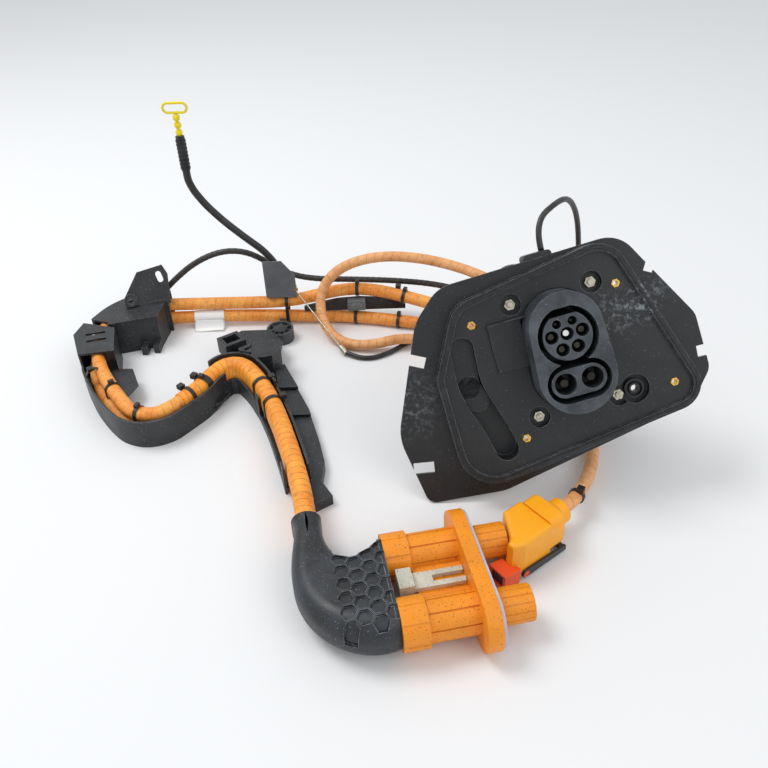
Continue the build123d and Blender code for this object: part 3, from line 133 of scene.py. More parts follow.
def cable_tube(name, route, radius, half_sides=8, tape_pitch=0.0, tape_step=0.0, extra_height=0.0):
    """A closed tube along a route, with tape turns that lap each other, mapped by its own length."""
    path = [vertex.co.copy() for vertex in smooth_line(name + "_line", route).vertices]
    mesh = smooth_line(name, route, radius, half_sides)
    ring = len(mesh.vertices) // len(path)
    lengths = [0.0]
    for here, following in zip(path, path[1:]):
        lengths.append(lengths[-1] + (following - here).length)
    for index, vertex in enumerate(mesh.vertices):
        place, corner = divmod(index, ring)
        out = vertex.co - path[place]
        if tape_pitch:
            lap = (lengths[place] / tape_pitch + corner / ring) % 1.0
            out *= 1 + tape_step * lap / radius
        out.z += drawn_out(out.z, radius, extra_height)
        vertex.co = path[place] + out
    along = mesh.uv_layers.new(name="along")
    for face in mesh.polygons:
        corners = [mesh.loops[loop].vertex_index for loop in face.loop_indices]
        closes = any(corner % ring == ring - 1 for corner in corners)
        for loop, corner in zip(face.loop_indices, corners):
            turn = ring if closes and corner % ring == 0 else corner % ring
            along.data[loop].uv = (lengths[corner // ring], turn / ring)
    bm = bmesh.new()
    bm.from_mesh(mesh)
    bmesh.ops.holes_fill(bm, edges=[edge for edge in bm.edges if edge.is_boundary], sides=0)
    bmesh.ops.recalc_face_normals(bm, faces=bm.faces)
    bm.to_mesh(mesh)
    bm.free()
    return show(name, mesh), path, lengths[-1]


def linear(code):
    """Linear colour of an sRGB hex code."""
    parts = [int(code[place:place + 2], 16) / 255 for place in (0, 2, 4)]
    return [part / 12.92 if part <= 0.04045 else ((part + 0.055) / 1.055) ** 2.4 for part in parts] + [1.0]


def add_node(tree, kind, inputs=None, output=0, **settings):
    """Add a node with its settings, fed by values or by other nodes, and give one of its outputs."""
    node = tree.nodes.new(kind)
    for name, value in settings.items():
        setattr(node, name, value)
    for key, value in (inputs or {}).items():
        if isinstance(value, bpy.types.NodeSocket):
            tree.links.new(value, node.inputs[key])
        else:
            node.inputs[key].default_value = value
    return node.outputs[output] if node.outputs else node


def start_material(name):
    """An empty material and its node tree."""
    material = bpy.data.materials.new(name)
    material.use_nodes = True
    material.node_tree.nodes.clear()
    return material, material.node_tree


def close_material(tree, colour, roughness, normal, metallic=0.0):
    """Give a material its surface."""
    surface = add_node(tree, "ShaderNodeBsdfPrincipled", {"Base Color": colour, "Roughness": roughness,
                                                          "Metallic": metallic, "Normal": normal})
    add_node(tree, "ShaderNodeOutputMaterial", {"Surface": surface})


# In a colour Mix node, socket 0 is the share, 6 and 7 are its two colours, and output 2 its result
def taped_jacket(name, jacket, light, grime, pitch, edge_share, edge_strength, speck_level,
                 edge_tone="5A3012"):
    """Cloth tape wound on a jacket: thin dark edges that wind round, cross threads, smears and specks."""
    material, tree = start_material(name)
    along = add_node(tree, "ShaderNodeUVMap", uv_map="along")
    place = add_node(tree, "ShaderNodeTexCoord", output="Object")
    length = add_node(tree, "ShaderNodeSeparateXYZ", {0: along}, "X")
    round_it = add_node(tree, "ShaderNodeSeparateXYZ", {0: along}, "Y")
    wander = add_node(tree, "ShaderNodeTexNoise", {"Vector": place, "Scale": wander_scale, "Detail": 3.0})
    wander = add_node(tree, "ShaderNodeMath", {0: wander, 1: wander_reach}, operation="MULTIPLY")
    turns = add_node(tree, "ShaderNodeMath", {0: length, 1: 1 / pitch, 2: round_it},
                     operation="MULTIPLY_ADD")
    turns = add_node(tree, "ShaderNodeMath", {0: turns, 1: wander}, operation="ADD")
    phase = add_node(tree, "ShaderNodeMath", {0: turns}, operation="FRACT")
    edge = add_node(tree, "ShaderNodeMapRange",
                    {"Value": phase, "From Min": edge_share, "From Max": 0.0, "To Min": 0.0, "To Max": 1.0})
    smear = add_node(tree, "ShaderNodeTexNoise",
                     {"Vector": place, "Scale": smear_scale, "Detail": 6.0, "Roughness": 0.62})
    share = add_node(tree, "ShaderNodeMapRange", {"Value": smear, "From Min": 0.36, "From Max": 0.66})
    tone = add_node(tree, "ShaderNodeMix", {0: share, 6: linear(jacket), 7: linear(light)}, 2,
                    data_type="RGBA")
    stretched = add_node(tree, "ShaderNodeMapping", {"Vector": along, "Scale": smudge_stretch})
    smudge = add_node(tree, "ShaderNodeTexNoise",
                      {"Vector": stretched, "Scale": 0.6, "Detail": 7.0, "Roughness": 0.6})
    share = add_node(tree, "ShaderNodeMapRange",
                     {"Value": smudge, "From Min": 0.55, "From Max": 0.75, "To Min": 0.0, "To Max": 0.55})
    tone = add_node(tree, "ShaderNodeMix", {0: share, 6: tone, 7: linear(grime)}, 2, data_type="RGBA")
    specks = add_node(tree, "ShaderNodeTexNoise", {"Vector": place, "Scale": grit_scale, "Detail": 1.0})
    share = add_node(tree, "ShaderNodeMapRange", {"Value": specks, "From Min": speck_level,
                                                  "From Max": speck_level + 0.06, "To Min": 0.0,
                                                  "To Max": 0.75})
    tone = add_node(tree, "ShaderNodeMix", {0: share, 6: tone, 7: linear(grime)}, 2, data_type="RGBA")
    share = add_node(tree, "ShaderNodeMath", {0: edge, 1: edge_strength}, operation="MULTIPLY")
    tone = add_node(tree, "ShaderNodeMix", {0: share, 6: tone, 7: linear(edge_tone)}, 2, data_type="RGBA")
    threads = add_node(tree, "ShaderNodeTexWave",
                       {"Vector": along, "Scale": thread_scale, "Distortion": 1.2, "Detail": 1.0}, "Fac")
    relief = add_node(tree, "ShaderNodeMath", {0: threads, 1: 0.3, 2: edge}, operation="MULTIPLY_ADD")
    normal = add_node(tree, "ShaderNodeBump", {"Height": relief, "Strength": 0.4, "Distance": 0.0003})
    rough = add_node(tree, "ShaderNodeMapRange",
                     {"Value": smear, "From Min": 0.3, "From Max": 0.7, "To Min": 0.42, "To Max": 0.62})
    close_material(tree, tone, rough, normal)
    return material


# Silicone jacket under thin cloth tape, orange: a matt skin with faint turns and dark specks of grit
orange_jacket = taped_jacket("Silicone jacket, orange, taped", jacket="EC8C2E", light="FBAE54",
                             grime="7A4418", pitch=cable_tape_pitch, edge_share=0.1, edge_strength=0.45,
                             speck_level=0.64)
cable_lines = {}
for name, node, route in (("upper_cable", "dc_cable_upper", upper_route),
                          ("lower_cable", "dc_cable_lower", lower_route)):
    cable, cable_lines[name], length = cable_tube(name, route, cable_radius, cable_half_sides,
                                                  cable_tape_pitch, cable_tape_step)
    cable.data.materials.append(orange_jacket)
    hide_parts(node)

# Taped bundle: both cables one above the other in one wrap of cloth tape, up to the elbow boot. Each
# turn laps the last, and its edge shows as a thin dark curved line.
bundle_width = 0.0215
bundle_height = 0.039
bundle_inset = 0.0003
bundle_tape_pitch = 0.0098
bundle_tape_step = 0.0004
bundle_route = [(-0.2088, 0.0483, 0.027), (-0.1918, 0.0703, 0.027), (-0.1808, 0.0993, 0.027),
                (-0.1658, 0.1223, 0.027), (-0.1428, 0.1223, 0.027), (-0.1228, 0.0953, 0.027),
                (-0.1038, 0.0573, 0.027), (-0.0888, 0.0193, 0.027), (-0.0778, -0.0147, 0.027),
                (-0.0668, -0.0507, 0.027), (-0.0568, -0.0867, 0.027), (-0.0488, -0.1217, 0.027),
                (-0.0428, -0.1587, 0.027)]
bundle, cable_lines["taped_cables"], length = cable_tube(
    "taped_cables", bundle_route, bundle_width / 2 - bundle_inset, half_sides=14,
    tape_pitch=bundle_tape_pitch, tape_step=bundle_tape_step, extra_height=bundle_height - bundle_width)
# Cloth tape, orange yellow: woven, matt, with a frayed dark line at each edge
bundle.data.materials.append(taped_jacket("Cloth tape, orange yellow", jacket="F08C26", light="FDAA3C",
                                          grime="7A4A18", pitch=bundle_tape_pitch, edge_share=0.09,
                                          edge_strength=0.95, speck_level=0.66))
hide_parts("taped_bundle")

# Thinner cable of the smaller connector: the same jacket, older and paler, with smears of grime. It
# lies free: behind the panel, over the back of the cables, and out under the panel.
thin_radius = 0.0072
thin_tape_pitch = 0.012
thin_tape_step = 0.0001
thin_route = [(0.2223, 0.0602, 0.1241), (0.2231, 0.0849, 0.1109), (0.2232, 0.1253, 0.104),
              (0.2122, 0.1703, 0.097), (0.1932, 0.2133, 0.093), (0.1662, 0.2453, 0.093),
              (0.1322, 0.2663, 0.096), (0.0952, 0.2783, 0.1), (0.0552, 0.2843, 0.102),
              (0.0192, 0.2843, 0.0995), (-0.0138, 0.2813, 0.09), (-0.0368, 0.2773, 0.073),
              (-0.0488, 0.2693, 0.052), (-0.0498, 0.2553, 0.033), (-0.0428, 0.2363, 0.0185),
              (-0.0288, 0.2173, 0.0105), (-0.0058, 0.2013, 0.0084), (0.0252, 0.1963, 0.011),
              (0.0592, 0.2003, 0.0175), (0.0952, 0.2063, 0.011), (0.1352, 0.2013, 0.0081),
              (0.1772, 0.1833, 0.008), (0.2182, 0.1533, 0.0081), (0.2512, 0.1123, 0.008),
              (0.2722, 0.0673, 0.0081), (0.2812, 0.0223, 0.008), (0.2792, -0.0167, 0.0085),
              (0.2702, -0.0517, 0.011), (0.2582, -0.0817, 0.015), (0.2432, -0.1077, 0.021),
              (0.2286, -0.1301, 0.027), (0.214, -0.1411, 0.027)]
thin_cable, path, length = cable_tube("thin_cable", thin_route, thin_radius - thin_tape_step,
                                      tape_pitch=thin_tape_pitch, tape_step=thin_tape_step)
# Silicone jacket, faded orange: the dye has paled, and hands have left brown smears
thin_cable.data.materials.append(taped_jacket("Silicone jacket, faded orange", jacket="DE985A",
                                              light="F0B47C", grime="7A5432", pitch=thin_tape_pitch,
                                              edge_share=0.12, edge_strength=0.45, speck_level=0.68))
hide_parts("ac_cable")

# Signal conduit: thin wires in one wrap of black cloth tape. It climbs over the back of the cables
# from the bracket at the bend, and goes into the lock behind the panel.
signal_radius = 0.0045
signal_inset = 0.0004
signal_tape_pitch = 0.008
signal_tape_step = 0.0003
signal_route = [(-0.2758, 0.2933, 0.055), (-0.2488, 0.2953, 0.08), (-0.2158, 0.2963, 0.101),
                (-0.1858, 0.2973, 0.111), (-0.1578, 0.2983, 0.11), (-0.1348, 0.2993, 0.099),
                (-0.1128, 0.3013, 0.08), (-0.0848, 0.3023, 0.065), (-0.0508, 0.3023, 0.059),
                (-0.0148, 0.3013, 0.058), (0.0212, 0.2993, 0.057), (0.0572, 0.2943, 0.057),
                (0.0922, 0.2853, 0.058), (0.1252, 0.2703, 0.06), (0.1532, 0.2473, 0.063),
                (0.1732, 0.2193, 0.07), (0.1822, 0.1923, 0.084), (0.1802, 0.1653, 0.107),
                (0.1762, 0.1393, 0.134), (0.1772, 0.1123, 0.16), (0.1832, 0.0873, 0.183),
                (0.1961, 0.0515, 0.2013), (0.1957, 0.0391, 0.2079)]
signal_wires, path, length = cable_tube("signal_wires", signal_route, signal_radius - signal_inset,
                                        half_sides=7, tape_pitch=signal_tape_pitch,
                                        tape_step=signal_tape_step)
# Cloth tape, black: matt weave with dusty lint
signal_wires.data.materials.append(taped_jacket("Cloth tape, black", jacket="201E1C", light="322F2C",
                                                grime="6A6258", pitch=signal_tape_pitch, edge_share=0.14,
                                                edge_strength=0.6, speck_level=0.66,
                                                edge_tone="0C0B0A"))
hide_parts("signal_conduit")

# Release cable: a pull wire in a black sheath. It leaves the lock behind the panel, drops to the
# floor, and its bare wire rises from a crimped end to the adjuster on the metal bracket.
sheath_radius = 0.0032
sheath_route = [(0.2073, 0.0365, 0.2292), (0.1998, 0.0503, 0.2547), (0.2312, 0.0813, 0.266),
                (0.2492, 0.1053, 0.256), (0.2652, 0.1283, 0.228), (0.2752, 0.1423, 0.192),
                (0.2812, 0.1503, 0.153), (0.2832, 0.1553, 0.114), (0.2812, 0.1583, 0.076),
                (0.2772, 0.1613, 0.042), (0.2672, 0.1643, 0.017), (0.2492, 0.1673, 0.005),
                (0.2252, 0.1723, 0.0034), (0.1992, 0.1838, 0.0035), (0.1642, 0.2013, 0.0033),
                (0.1332, 0.2193, 0.0034), (0.1032, 0.2273, 0.0033), (0.0792, 0.2173, 0.0035),
                (0.0622, 0.2003, 0.0034), (0.0442, 0.1843, 0.0036), (0.0222, 0.1743, 0.0035),
                (0.0012, 0.1773, 0.004), (-0.0148, 0.1893, 0.0058)]
wire_radius = 0.001
wire_route = [(-0.0148, 0.1893, 0.0058), (-0.0358, 0.2160, 0.0193), (-0.0638, 0.2516, 0.0389),
              (-0.0848, 0.2783, 0.055)]
crimp_radius = 0.0042
crimp_length = 0.014
crimp_forward = 0.003
crimp_rounding = 0.0008
# Scales of the sheath's and the metals' patterns, in cells to the metre: smears 14 mm across on a
# skin of 0.6 mm grain, and stains 3 mm across between marks of 0.4 mm
sheath_smear_scale = 70.0
sheath_skin_scale = 1800.0
stain_scale = 330.0
mark_scale = 2800.0


def soft_black(name, colour, worn, roughness):
    """Extruded jacket or moulded rubber: an even dark skin with dusty smears and a fine grain."""
    material, tree = start_material(name)
    place = add_node(tree, "ShaderNodeTexCoord", output="Object")
    smear = add_node(tree, "ShaderNodeTexNoise",
                     {"Vector": place, "Scale": sheath_smear_scale, "Detail": 6.0, "Roughness": 0.6})
    share = add_node(tree, "ShaderNodeMapRange",
                     {"Value": smear, "From Min": 0.5, "From Max": 0.78, "To Min": 0.0, "To Max": 0.8})
    tone = add_node(tree, "ShaderNodeMix", {0: share, 6: linear(colour), 7: linear(worn)}, 2,
                    data_type="RGBA")
    skin = add_node(tree, "ShaderNodeTexNoise", {"Vector": place, "Scale": sheath_skin_scale, "Detail": 2.0})
    normal = add_node(tree, "ShaderNodeBump", {"Height": skin, "Strength": 0.25, "Distance": 0.0002})
    rough = add_node(tree, "ShaderNodeMapRange", {"Value": smear, "From Min": 0.4, "From Max": 0.7,
                                                  "To Min": roughness, "To Max": roughness + 0.15})
    close_material(tree, tone, rough, normal)
    return material


def turned_metal(name, colour, dull, roughness):
    """Plated or turned metal: bright, with cloudy stains and fine marks."""
    material, tree = start_material(name)
    place = add_node(tree, "ShaderNodeTexCoord", output="Object")
    stain = add_node(tree, "ShaderNodeTexNoise", {"Vector": place, "Scale": stain_scale, "Detail": 4.0})
    share = add_node(tree, "ShaderNodeMapRange", {"Value": stain, "From Min": 0.45, "From Max": 0.75})
    tone = add_node(tree, "ShaderNodeMix", {0: share, 6: linear(colour), 7: linear(dull)}, 2,
                    data_type="RGBA")
    marks = add_node(tree, "ShaderNodeTexNoise", {"Vector": place, "Scale": mark_scale, "Detail": 1.0})
    normal = add_node(tree, "ShaderNodeBump", {"Height": marks, "Strength": 0.3, "Distance": 0.0001})
    rough = add_node(tree, "ShaderNodeMapRange", {"Value": stain, "From Min": 0.4, "From Max": 0.7,
                                                  "To Min": roughness, "To Max": roughness + 0.18})
    close_material(tree, tone, rough, normal, 1.0)
    return material


sheath, path, length = cable_tube("release_sheath", sheath_route, sheath_radius, half_sides=6)
# PVC jacket, black: extruded, smooth and slightly shiny
black_jacket = soft_black("PVC jacket, black", "1B1B1C", "4A4A4A", 0.35)
sheath.data.materials.append(black_jacket)
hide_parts("release_cable")
wire_start = Vector(wire_route[0])
wire_way = (Vector(wire_route[-1]) - wire_start).normalized()
bm = bmesh.new()
bmesh.ops.create_cone(bm, cap_ends=True, segments=32, radius1=crimp_radius, radius2=crimp_radius,
                      depth=crimp_length)
bmesh.ops.bevel(bm, geom=[edge for edge in bm.edges if edge.calc_face_angle(0) > 1.0],
                offset=crimp_rounding, segments=3, profile=0.5, affect="EDGES", material=-1)
bmesh.ops.transform(bm, verts=bm.verts, matrix=Matrix.Translation(wire_start + crimp_forward * wire_way)
                    @ wire_way.to_track_quat("Z", "Y").to_matrix().to_4x4())
crimp_mesh = bpy.data.meshes.new("wire_crimp")
bm.to_mesh(crimp_mesh)
bm.free()
crimp = show("wire_crimp", crimp_mesh, smooth=False)
# Zinc-plated steel: a warm grey shine, with fine marks from rolling
bright_steel = turned_metal("Zinc-plated steel", "C4BFAE", "847C68", 0.24)
crimp_mesh.materials.append(bright_steel)
wire, path, length = cable_tube("bare_wire", wire_route, wire_radius, half_sides=5)
wire.data.materials.append(bright_steel)
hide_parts("pull_wire")

# Mounting panel: one black glass-filled polypropylene moulding. Its flat field has pale scuffs and
# dust, and its edges and lips are rubbed to grey where it was handled.
panel_frame = (Matrix.Translation((0.2245, -0.0413, 0.155))
               @ Matrix(((0.9677, -0.2504, -0.0293),
                         (0.0926, 0.4612, -0.8825),
                         (0.2345, 0.8512, 0.4695))).to_4x4())
pad_size = (0.035, 0.050, 0.0045)
pad_centre = (-0.0535, 0.020, 0.0021)
pad_rounding = 0.0012
pad_rib_size = (0.038, 0.0022, 0.0068)
pad_rib_centre = (-0.0520, 0.0455, 0.0032)
pad_rib_rounding = 0.0008
shelf_depth = -0.009
shelf_floor = -0.0215
shelf_radius = 0.01185
shelf_line = [(-0.101, 0.030), (-0.104, -0.012), (-0.0986, -0.028)]
# Scales of the mouldings' patterns, in cells to the metre: dust mottled over 29 mm, rubbing broken
# up over 7 mm, grit of 1.5 mm, and scuffs of 5 mm
mottle_scale = 34.0
rub_scale = 140.0
moulding_grit_scale = 660.0
scuff_scale = 200.0
scuff_core = 0.35


def moulded_plastic(name, body, dusty, worn, grain=0.0006, roughness=0.42, edge=0.0005, wear=0.8,
                    dust=0.35, speck=None, speck_level=0.66, scuffs=()):
    """Injection-moulded plastic: softened edges rubbed paler, mottled dust, grain, grit and scuffs."""
    material, tree = start_material(name)
    place = add_node(tree, "ShaderNodeTexCoord", output="Object")
    soft = add_node(tree, "ShaderNodeBevel", {"Radius": edge}, samples=6)
    flat = add_node(tree, "ShaderNodeNewGeometry", output="Normal")
    facing = add_node(tree, "ShaderNodeVectorMath", {0: soft, 1: flat}, "Value", operation="DOT_PRODUCT")
    patches = add_node(tree, "ShaderNodeTexNoise",
                       {"Vector": place, "Scale": rub_scale, "Detail": 6.0, "Roughness": 0.65})
    at_edge = add_node(tree, "ShaderNodeMapRange",
                       {"Value": facing, "From Min": 0.985, "From Max": 0.86, "To Min": 0.0,
                        "To Max": wear})
    share = add_node(tree, "ShaderNodeMapRange", {"Value": patches, "From Min": 0.36, "From Max": 0.6})
    rubbed = add_node(tree, "ShaderNodeMath", {0: at_edge, 1: share}, operation="MULTIPLY")
    mottle = add_node(tree, "ShaderNodeTexNoise",
                      {"Vector": place, "Scale": mottle_scale, "Detail": 7.0, "Roughness": 0.66})
    share = add_node(tree, "ShaderNodeMapRange",
                     {"Value": mottle, "From Min": 0.4, "From Max": 0.72, "To Min": 0.0, "To Max": dust})
    tone = add_node(tree, "ShaderNodeMix", {0: share, 6: linear(body), 7: linear(dusty)}, 2,
                    data_type="RGBA")
    tone = add_node(tree, "ShaderNodeMix", {0: rubbed, 6: tone, 7: linear(worn)}, 2, data_type="RGBA")
    if speck:
        grit = add_node(tree, "ShaderNodeTexNoise",
                        {"Vector": place, "Scale": moulding_grit_scale, "Detail": 1.0})
        share = add_node(tree, "ShaderNodeMapRange", {"Value": grit, "From Min": speck_level,
                                                      "From Max": speck_level + 0.05, "To Min": 0.0,
                                                      "To Max": 0.8})
        tone = add_node(tree, "ShaderNodeMix", {0: share, 6: tone, 7: linear(speck)}, 2,
                        data_type="RGBA")
    for centre, reach, strength in scuffs:
        away = add_node(tree, "ShaderNodeVectorMath", {0: place, 1: centre}, "Value",
                        operation="DISTANCE")
        near = add_node(tree, "ShaderNodeMapRange",
                        {"Value": away, "From Min": reach, "From Max": reach * scuff_core})
        marks = add_node(tree, "ShaderNodeTexNoise",
                         {"Vector": place, "Scale": scuff_scale, "Detail": 9.0, "Roughness": 0.72})
        marks = add_node(tree, "ShaderNodeMapRange", {"Value": marks, "From Min": 0.5, "From Max": 0.66,
                                                      "To Min": 0.0, "To Max": strength})
        share = add_node(tree, "ShaderNodeMath", {0: near, 1: marks}, operation="MULTIPLY")
        tone = add_node(tree, "ShaderNodeMix", {0: share, 6: tone, 7: linear(worn)}, 2,
                        data_type="RGBA")
    skin = add_node(tree, "ShaderNodeTexNoise", {"Vector": place, "Scale": 1 / grain, "Detail": 2.0})
    normal = add_node(tree, "ShaderNodeBump",
                      {"Height": skin, "Strength": 0.22, "Distance": 0.0002, "Normal": soft})
    rough = add_node(tree, "ShaderNodeMapRange", {"Value": mottle, "From Min": 0.35, "From Max": 0.7,
                                                  "To Min": roughness, "To Max": roughness + 0.18})
    close_material(tree, tone, rough, normal)
    return material


def finish(names, material):
    """Give CAD pieces their real finish."""
    for name in names:
        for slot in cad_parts[name].material_slots:
            slot.material = material


def block(bm, size, centre, frame_of=Matrix(), round_by=0.0006):
    """Add a moulded block with rounded edges, placed in a frame."""
    verts = bmesh.ops.create_cube(bm, size=1.0)["verts"]
    bmesh.ops.scale(bm, vec=size, verts=verts)
    bmesh.ops.translate(bm, vec=centre, verts=verts)
    edges = list({edge for vert in verts for edge in vert.link_edges})
    shaped = bmesh.ops.bevel(bm, geom=edges, offset=round_by, segments=2, profile=0.5, affect="EDGES",
                             material=-1)
    placed = {vert for face in shaped["faces"] for vert in face.verts}
    placed |= {vert for vert in verts if vert.is_valid}
    bmesh.ops.transform(bm, matrix=frame_of, verts=list(placed))


def finished_mesh(name, bm):
    """Close a bmesh into a mesh with its faces pointing outwards."""
    bmesh.ops.recalc_face_normals(bm, faces=bm.faces)
    mesh = bpy.data.meshes.new(name)
    bm.to_mesh(mesh)
    bm.free()
    return mesh


# Where the field is scuffed: a centre, a reach and a strength for each patch
panel_scuffs = [((0.307, -0.019, 0.2), 0.03, 0.9),
                ((0.335, -0.02, 0.215), 0.03, 0.7),
                ((0.275, -0.03, 0.19), 0.035, 0.45),
                ((0.06, -0.05, 0.1), 0.05, 0.35)]
# Glass-filled polypropylene, black: moulded with a fine spark grain that scuffs almost white
panel_plastic = moulded_plastic("Glass-filled polypropylene, black", body="131517", dusty="26292D",
                                worn="969CA2", grain=0.0008, roughness=0.34, edge=0.0008, wear=0.85,
                                dust=0.5, speck="6E7276", speck_level=0.72, scuffs=panel_scuffs)
finish(["mounting_panel"], panel_plastic)
# The raised pad beside the collar, with a thin rib along its upper edge
bm = bmesh.new()
block(bm, pad_size, pad_centre, panel_frame, pad_rounding)
block(bm, pad_rib_size, pad_rib_centre, panel_frame, pad_rib_rounding)
field_pad = show("field_pad", finished_mesh("field_pad", bm), smooth=False)
field_pad.data.materials.append(panel_plastic)
# The shallower floor in the upper half of the long pocket
bm = bmesh.new()
for first, second in zip(shelf_line, shelf_line[1:]):
    rims = []
    for x, y in (first, second):
        for z in (shelf_floor, shelf_depth):
            rims += bmesh.ops.create_circle(bm, radius=shelf_radius, segments=32,
                                            matrix=Matrix.Translation((x, y, z)))["verts"]
    bmesh.ops.convex_hull(bm, input=rims)
bmesh.ops.transform(bm, matrix=panel_frame, verts=bm.verts)
pocket_shelf = show("pocket_shelf", finished_mesh("pocket_shelf", bm), smooth=False)
pocket_shelf.data.materials.append(panel_plastic)
# EPDM rubber, black: matt, with dust in its skin
finish(["perimeter_seal", "pocket_grommet"], soft_black("EPDM rubber, black", "101112", "34363A", 0.42))
# Turned brass: warm and bright, dull in its roots
finish(["threaded_inserts"], turned_metal("Turned brass", "F0C25C", "A8792C", 0.24))
finish(["inlet_studs", "inlet_nuts"], bright_steel)

# Charging inlet: black polyamide collar and socket, with silver-plated contacts in their wells. Its
# rim is met by a plug at each charge, so it is rubbed to a dusty blue-grey.
# Polyamide, black, handled: smooth moulding, polished dark inside and rubbed at the rim
finish(["inlet_housing"],
       moulded_plastic("Polyamide, black, handled", body="2E3236", dusty="565C63", worn="8A9198",
                       grain=0.0007, roughness=0.32, edge=0.0007, wear=1.0, dust=0.9, speck="8E959C",
                       speck_level=0.72))
# Tarnished silver plate: nearly black. The power pins below are tarnished too, with a painted highlight by
# one tip
finish(["signal_pins", "dc_pins"], turned_metal("Tarnished silver plate", "3C3A36", "1C1B1A", 0.4))
# Painted highlight: a small near-white silver disc round one point by a power pin's tip, where a glint lies;
# the rest of the pins keep their dark tarnish
glint_centre = panel_frame @ Vector((0.0, 0.021, 0.028))
glint_outer = 0.0066
glint_inner = 0.0048
tarnish_scale = 500.0
tarnish_and_glint, tree = start_material("Tarnished silver plate, painted highlight on one tip")
place = add_node(tree, "ShaderNodeTexCoord", output="Object")
away = add_node(tree, "ShaderNodeVectorMath", {0: place, 1: glint_centre}, "Value", operation="DISTANCE")
share = add_node(tree, "ShaderNodeMapRange", {"Value": away, "From Min": glint_outer, "From Max": glint_inner})
stain = add_node(tree, "ShaderNodeTexNoise", {"Vector": place, "Scale": tarnish_scale, "Detail": 4.0})
dark = add_node(tree, "ShaderNodeMix", {0: stain, 6: linear("1C1B1A"), 7: linear("55524C")}, 2,
                data_type="RGBA")
tone = add_node(tree, "ShaderNodeMix", {0: share, 6: dark, 7: linear("F0EEE8")}, 2, data_type="RGBA")
marks = add_node(tree, "ShaderNodeBump", {"Height": stain, "Strength": 0.3, "Distance": 0.0001})
close_material(tree, tone, 0.35, marks, 1.0)
finish(["power_pins"], tarnish_and_glint)

# Behind the inlet: the cover over the contact tails, the glands of the three cables, and the lock
# with its pin. All are black mouldings, out of the way of hands and so hardly worn.
# Polyamide, black: plain moulding with a slight sheen
finish(["inlet_rear_cover", "lock_actuator"],
       moulded_plastic("Polyamide, black", body="202225", dusty="34373A", worn="6F7377"))
# Gland rubber, black: dull and clean
finish(["dc_glands", "ac_gland"], soft_black("Gland rubber, black", "1A1B1C", "3A3C3E", 0.48))
finish(["lock_pin"], bright_steel)

# Trays, brackets and clips: dark grey talc-filled polypropylene, moulded as open channels. Dust lies
# in them, and their thin edges are rubbed pale.
# Talc-filled polypropylene, dark grey: dull, chalky where it is scratched
finish(["u_tray", "peak_tray", "box_latch", "down_tray", "left_bracket", "clip_box", "cable_spacer"],
       moulded_plastic("Talc-filled polypropylene, dark grey", body="1B1D1F", dusty="3C3F43",
                       worn="A2A6AA", grain=0.0007, roughness=0.4, edge=0.0006, wear=0.95, dust=0.7,
                       speck="85898C", speck_level=0.7))
# Polypropylene, weathered: the same plastic, gone paler in the light
finish(["disc_clip"],
       moulded_plastic("Polypropylene, weathered", body="34373A", dusty="55595D", worn="B0B4B8",
                       grain=0.0007, roughness=0.42, edge=0.0007, wear=1.0, dust=0.8))
# Blued steel: dark, with a soft shine
finish(["bracket_bush"], turned_metal("Blued steel", "4C4E52", "2A2B2D", 0.35))

# Ties: black nylon bands pulled tight round the cables, each with a square head. Some hold one
# cable, some the two that lie one above the other, and some the taped bundle.
# Nylon, black: smooth mouldings, shiny where they are stretched
nylon = moulded_plastic("Nylon, black", body="1A1917", dusty="3A3632", worn="8C8880", grain=0.0005,
                        roughness=0.3, edge=0.0003, wear=0.7, dust=0.5)
finish(["cable_ties", "bundle_ties", "ac_cable_tie"], nylon)
band_width = 0.0046
band_thickness = 0.0011
band_clearance = 0.0002
band_head = (0.0072, 0.0056, 0.0052)
pair_drop = 0.019
# What a band goes round: the radius of its ends, how much taller than round it is, and how far its
# centre lies below the line it is set on
band_forms = {"one": (cable_radius, 0.0, 0.0),
              "pair": (cable_radius, pair_drop, pair_drop / 2),
              "bundle": (bundle_width / 2, bundle_height - bundle_width, 0.0)}
band_places = [("upper_cable", (-0.3010, 0.0750, 0.037), "pair"),
               ("upper_cable", (-0.2560, 0.0240, 0.036), "pair"),
               ("taped_cables", (-0.1868, 0.0800, 0.027), "bundle"),
               ("upper_cable", (0.0034, 0.2853, 0.051), "one"),
               ("lower_cable", (0.0017, 0.2733, 0.0105), "one"),
               ("upper_cable", (0.0722, 0.2683, 0.045), "one"),
               ("lower_cable", (0.0640, 0.2590, 0.010), "one")]
bm = bmesh.new()
for line_name, place, form in band_places:
    radius, taller, drop = band_forms[form]
    radius += band_clearance
    line = cable_lines[line_name]
    near = min(range(1, len(line) - 1), key=lambda index: (line[index] - Vector(place)).length)
    way = (line[near + 1] - line[near - 1]).normalized()
    side = Vector((0, 0, 1)).cross(way).normalized()
    rise = way.cross(side)
    seat = (Matrix.Translation(line[near] - Vector((0, 0, drop)))
            @ Matrix((side, rise, way)).transposed().to_4x4())
    verts = bmesh.ops.create_cone(bm, cap_ends=False, segments=40, radius1=radius, radius2=radius,
                                  depth=band_width)["verts"]
    for vert in verts:
        vert.co.y += drawn_out(vert.co.y, radius, taller)
    faces = list({face for vert in verts for face in vert.link_faces})
    wall = bmesh.ops.solidify(bm, geom=faces, thickness=-band_thickness)["geom"]
    verts = list(set(verts) | {item for item in wall if isinstance(item, bmesh.types.BMVert)})
    bmesh.ops.transform(bm, matrix=seat, verts=verts)
    block(bm, band_head, (0, radius + taller / 2 + band_head[1] / 2, 0), seat)
cable_bands = show("cable_bands", finished_mesh("cable_bands", bm), smooth=False)
cable_bands.data.materials.append(nylon)

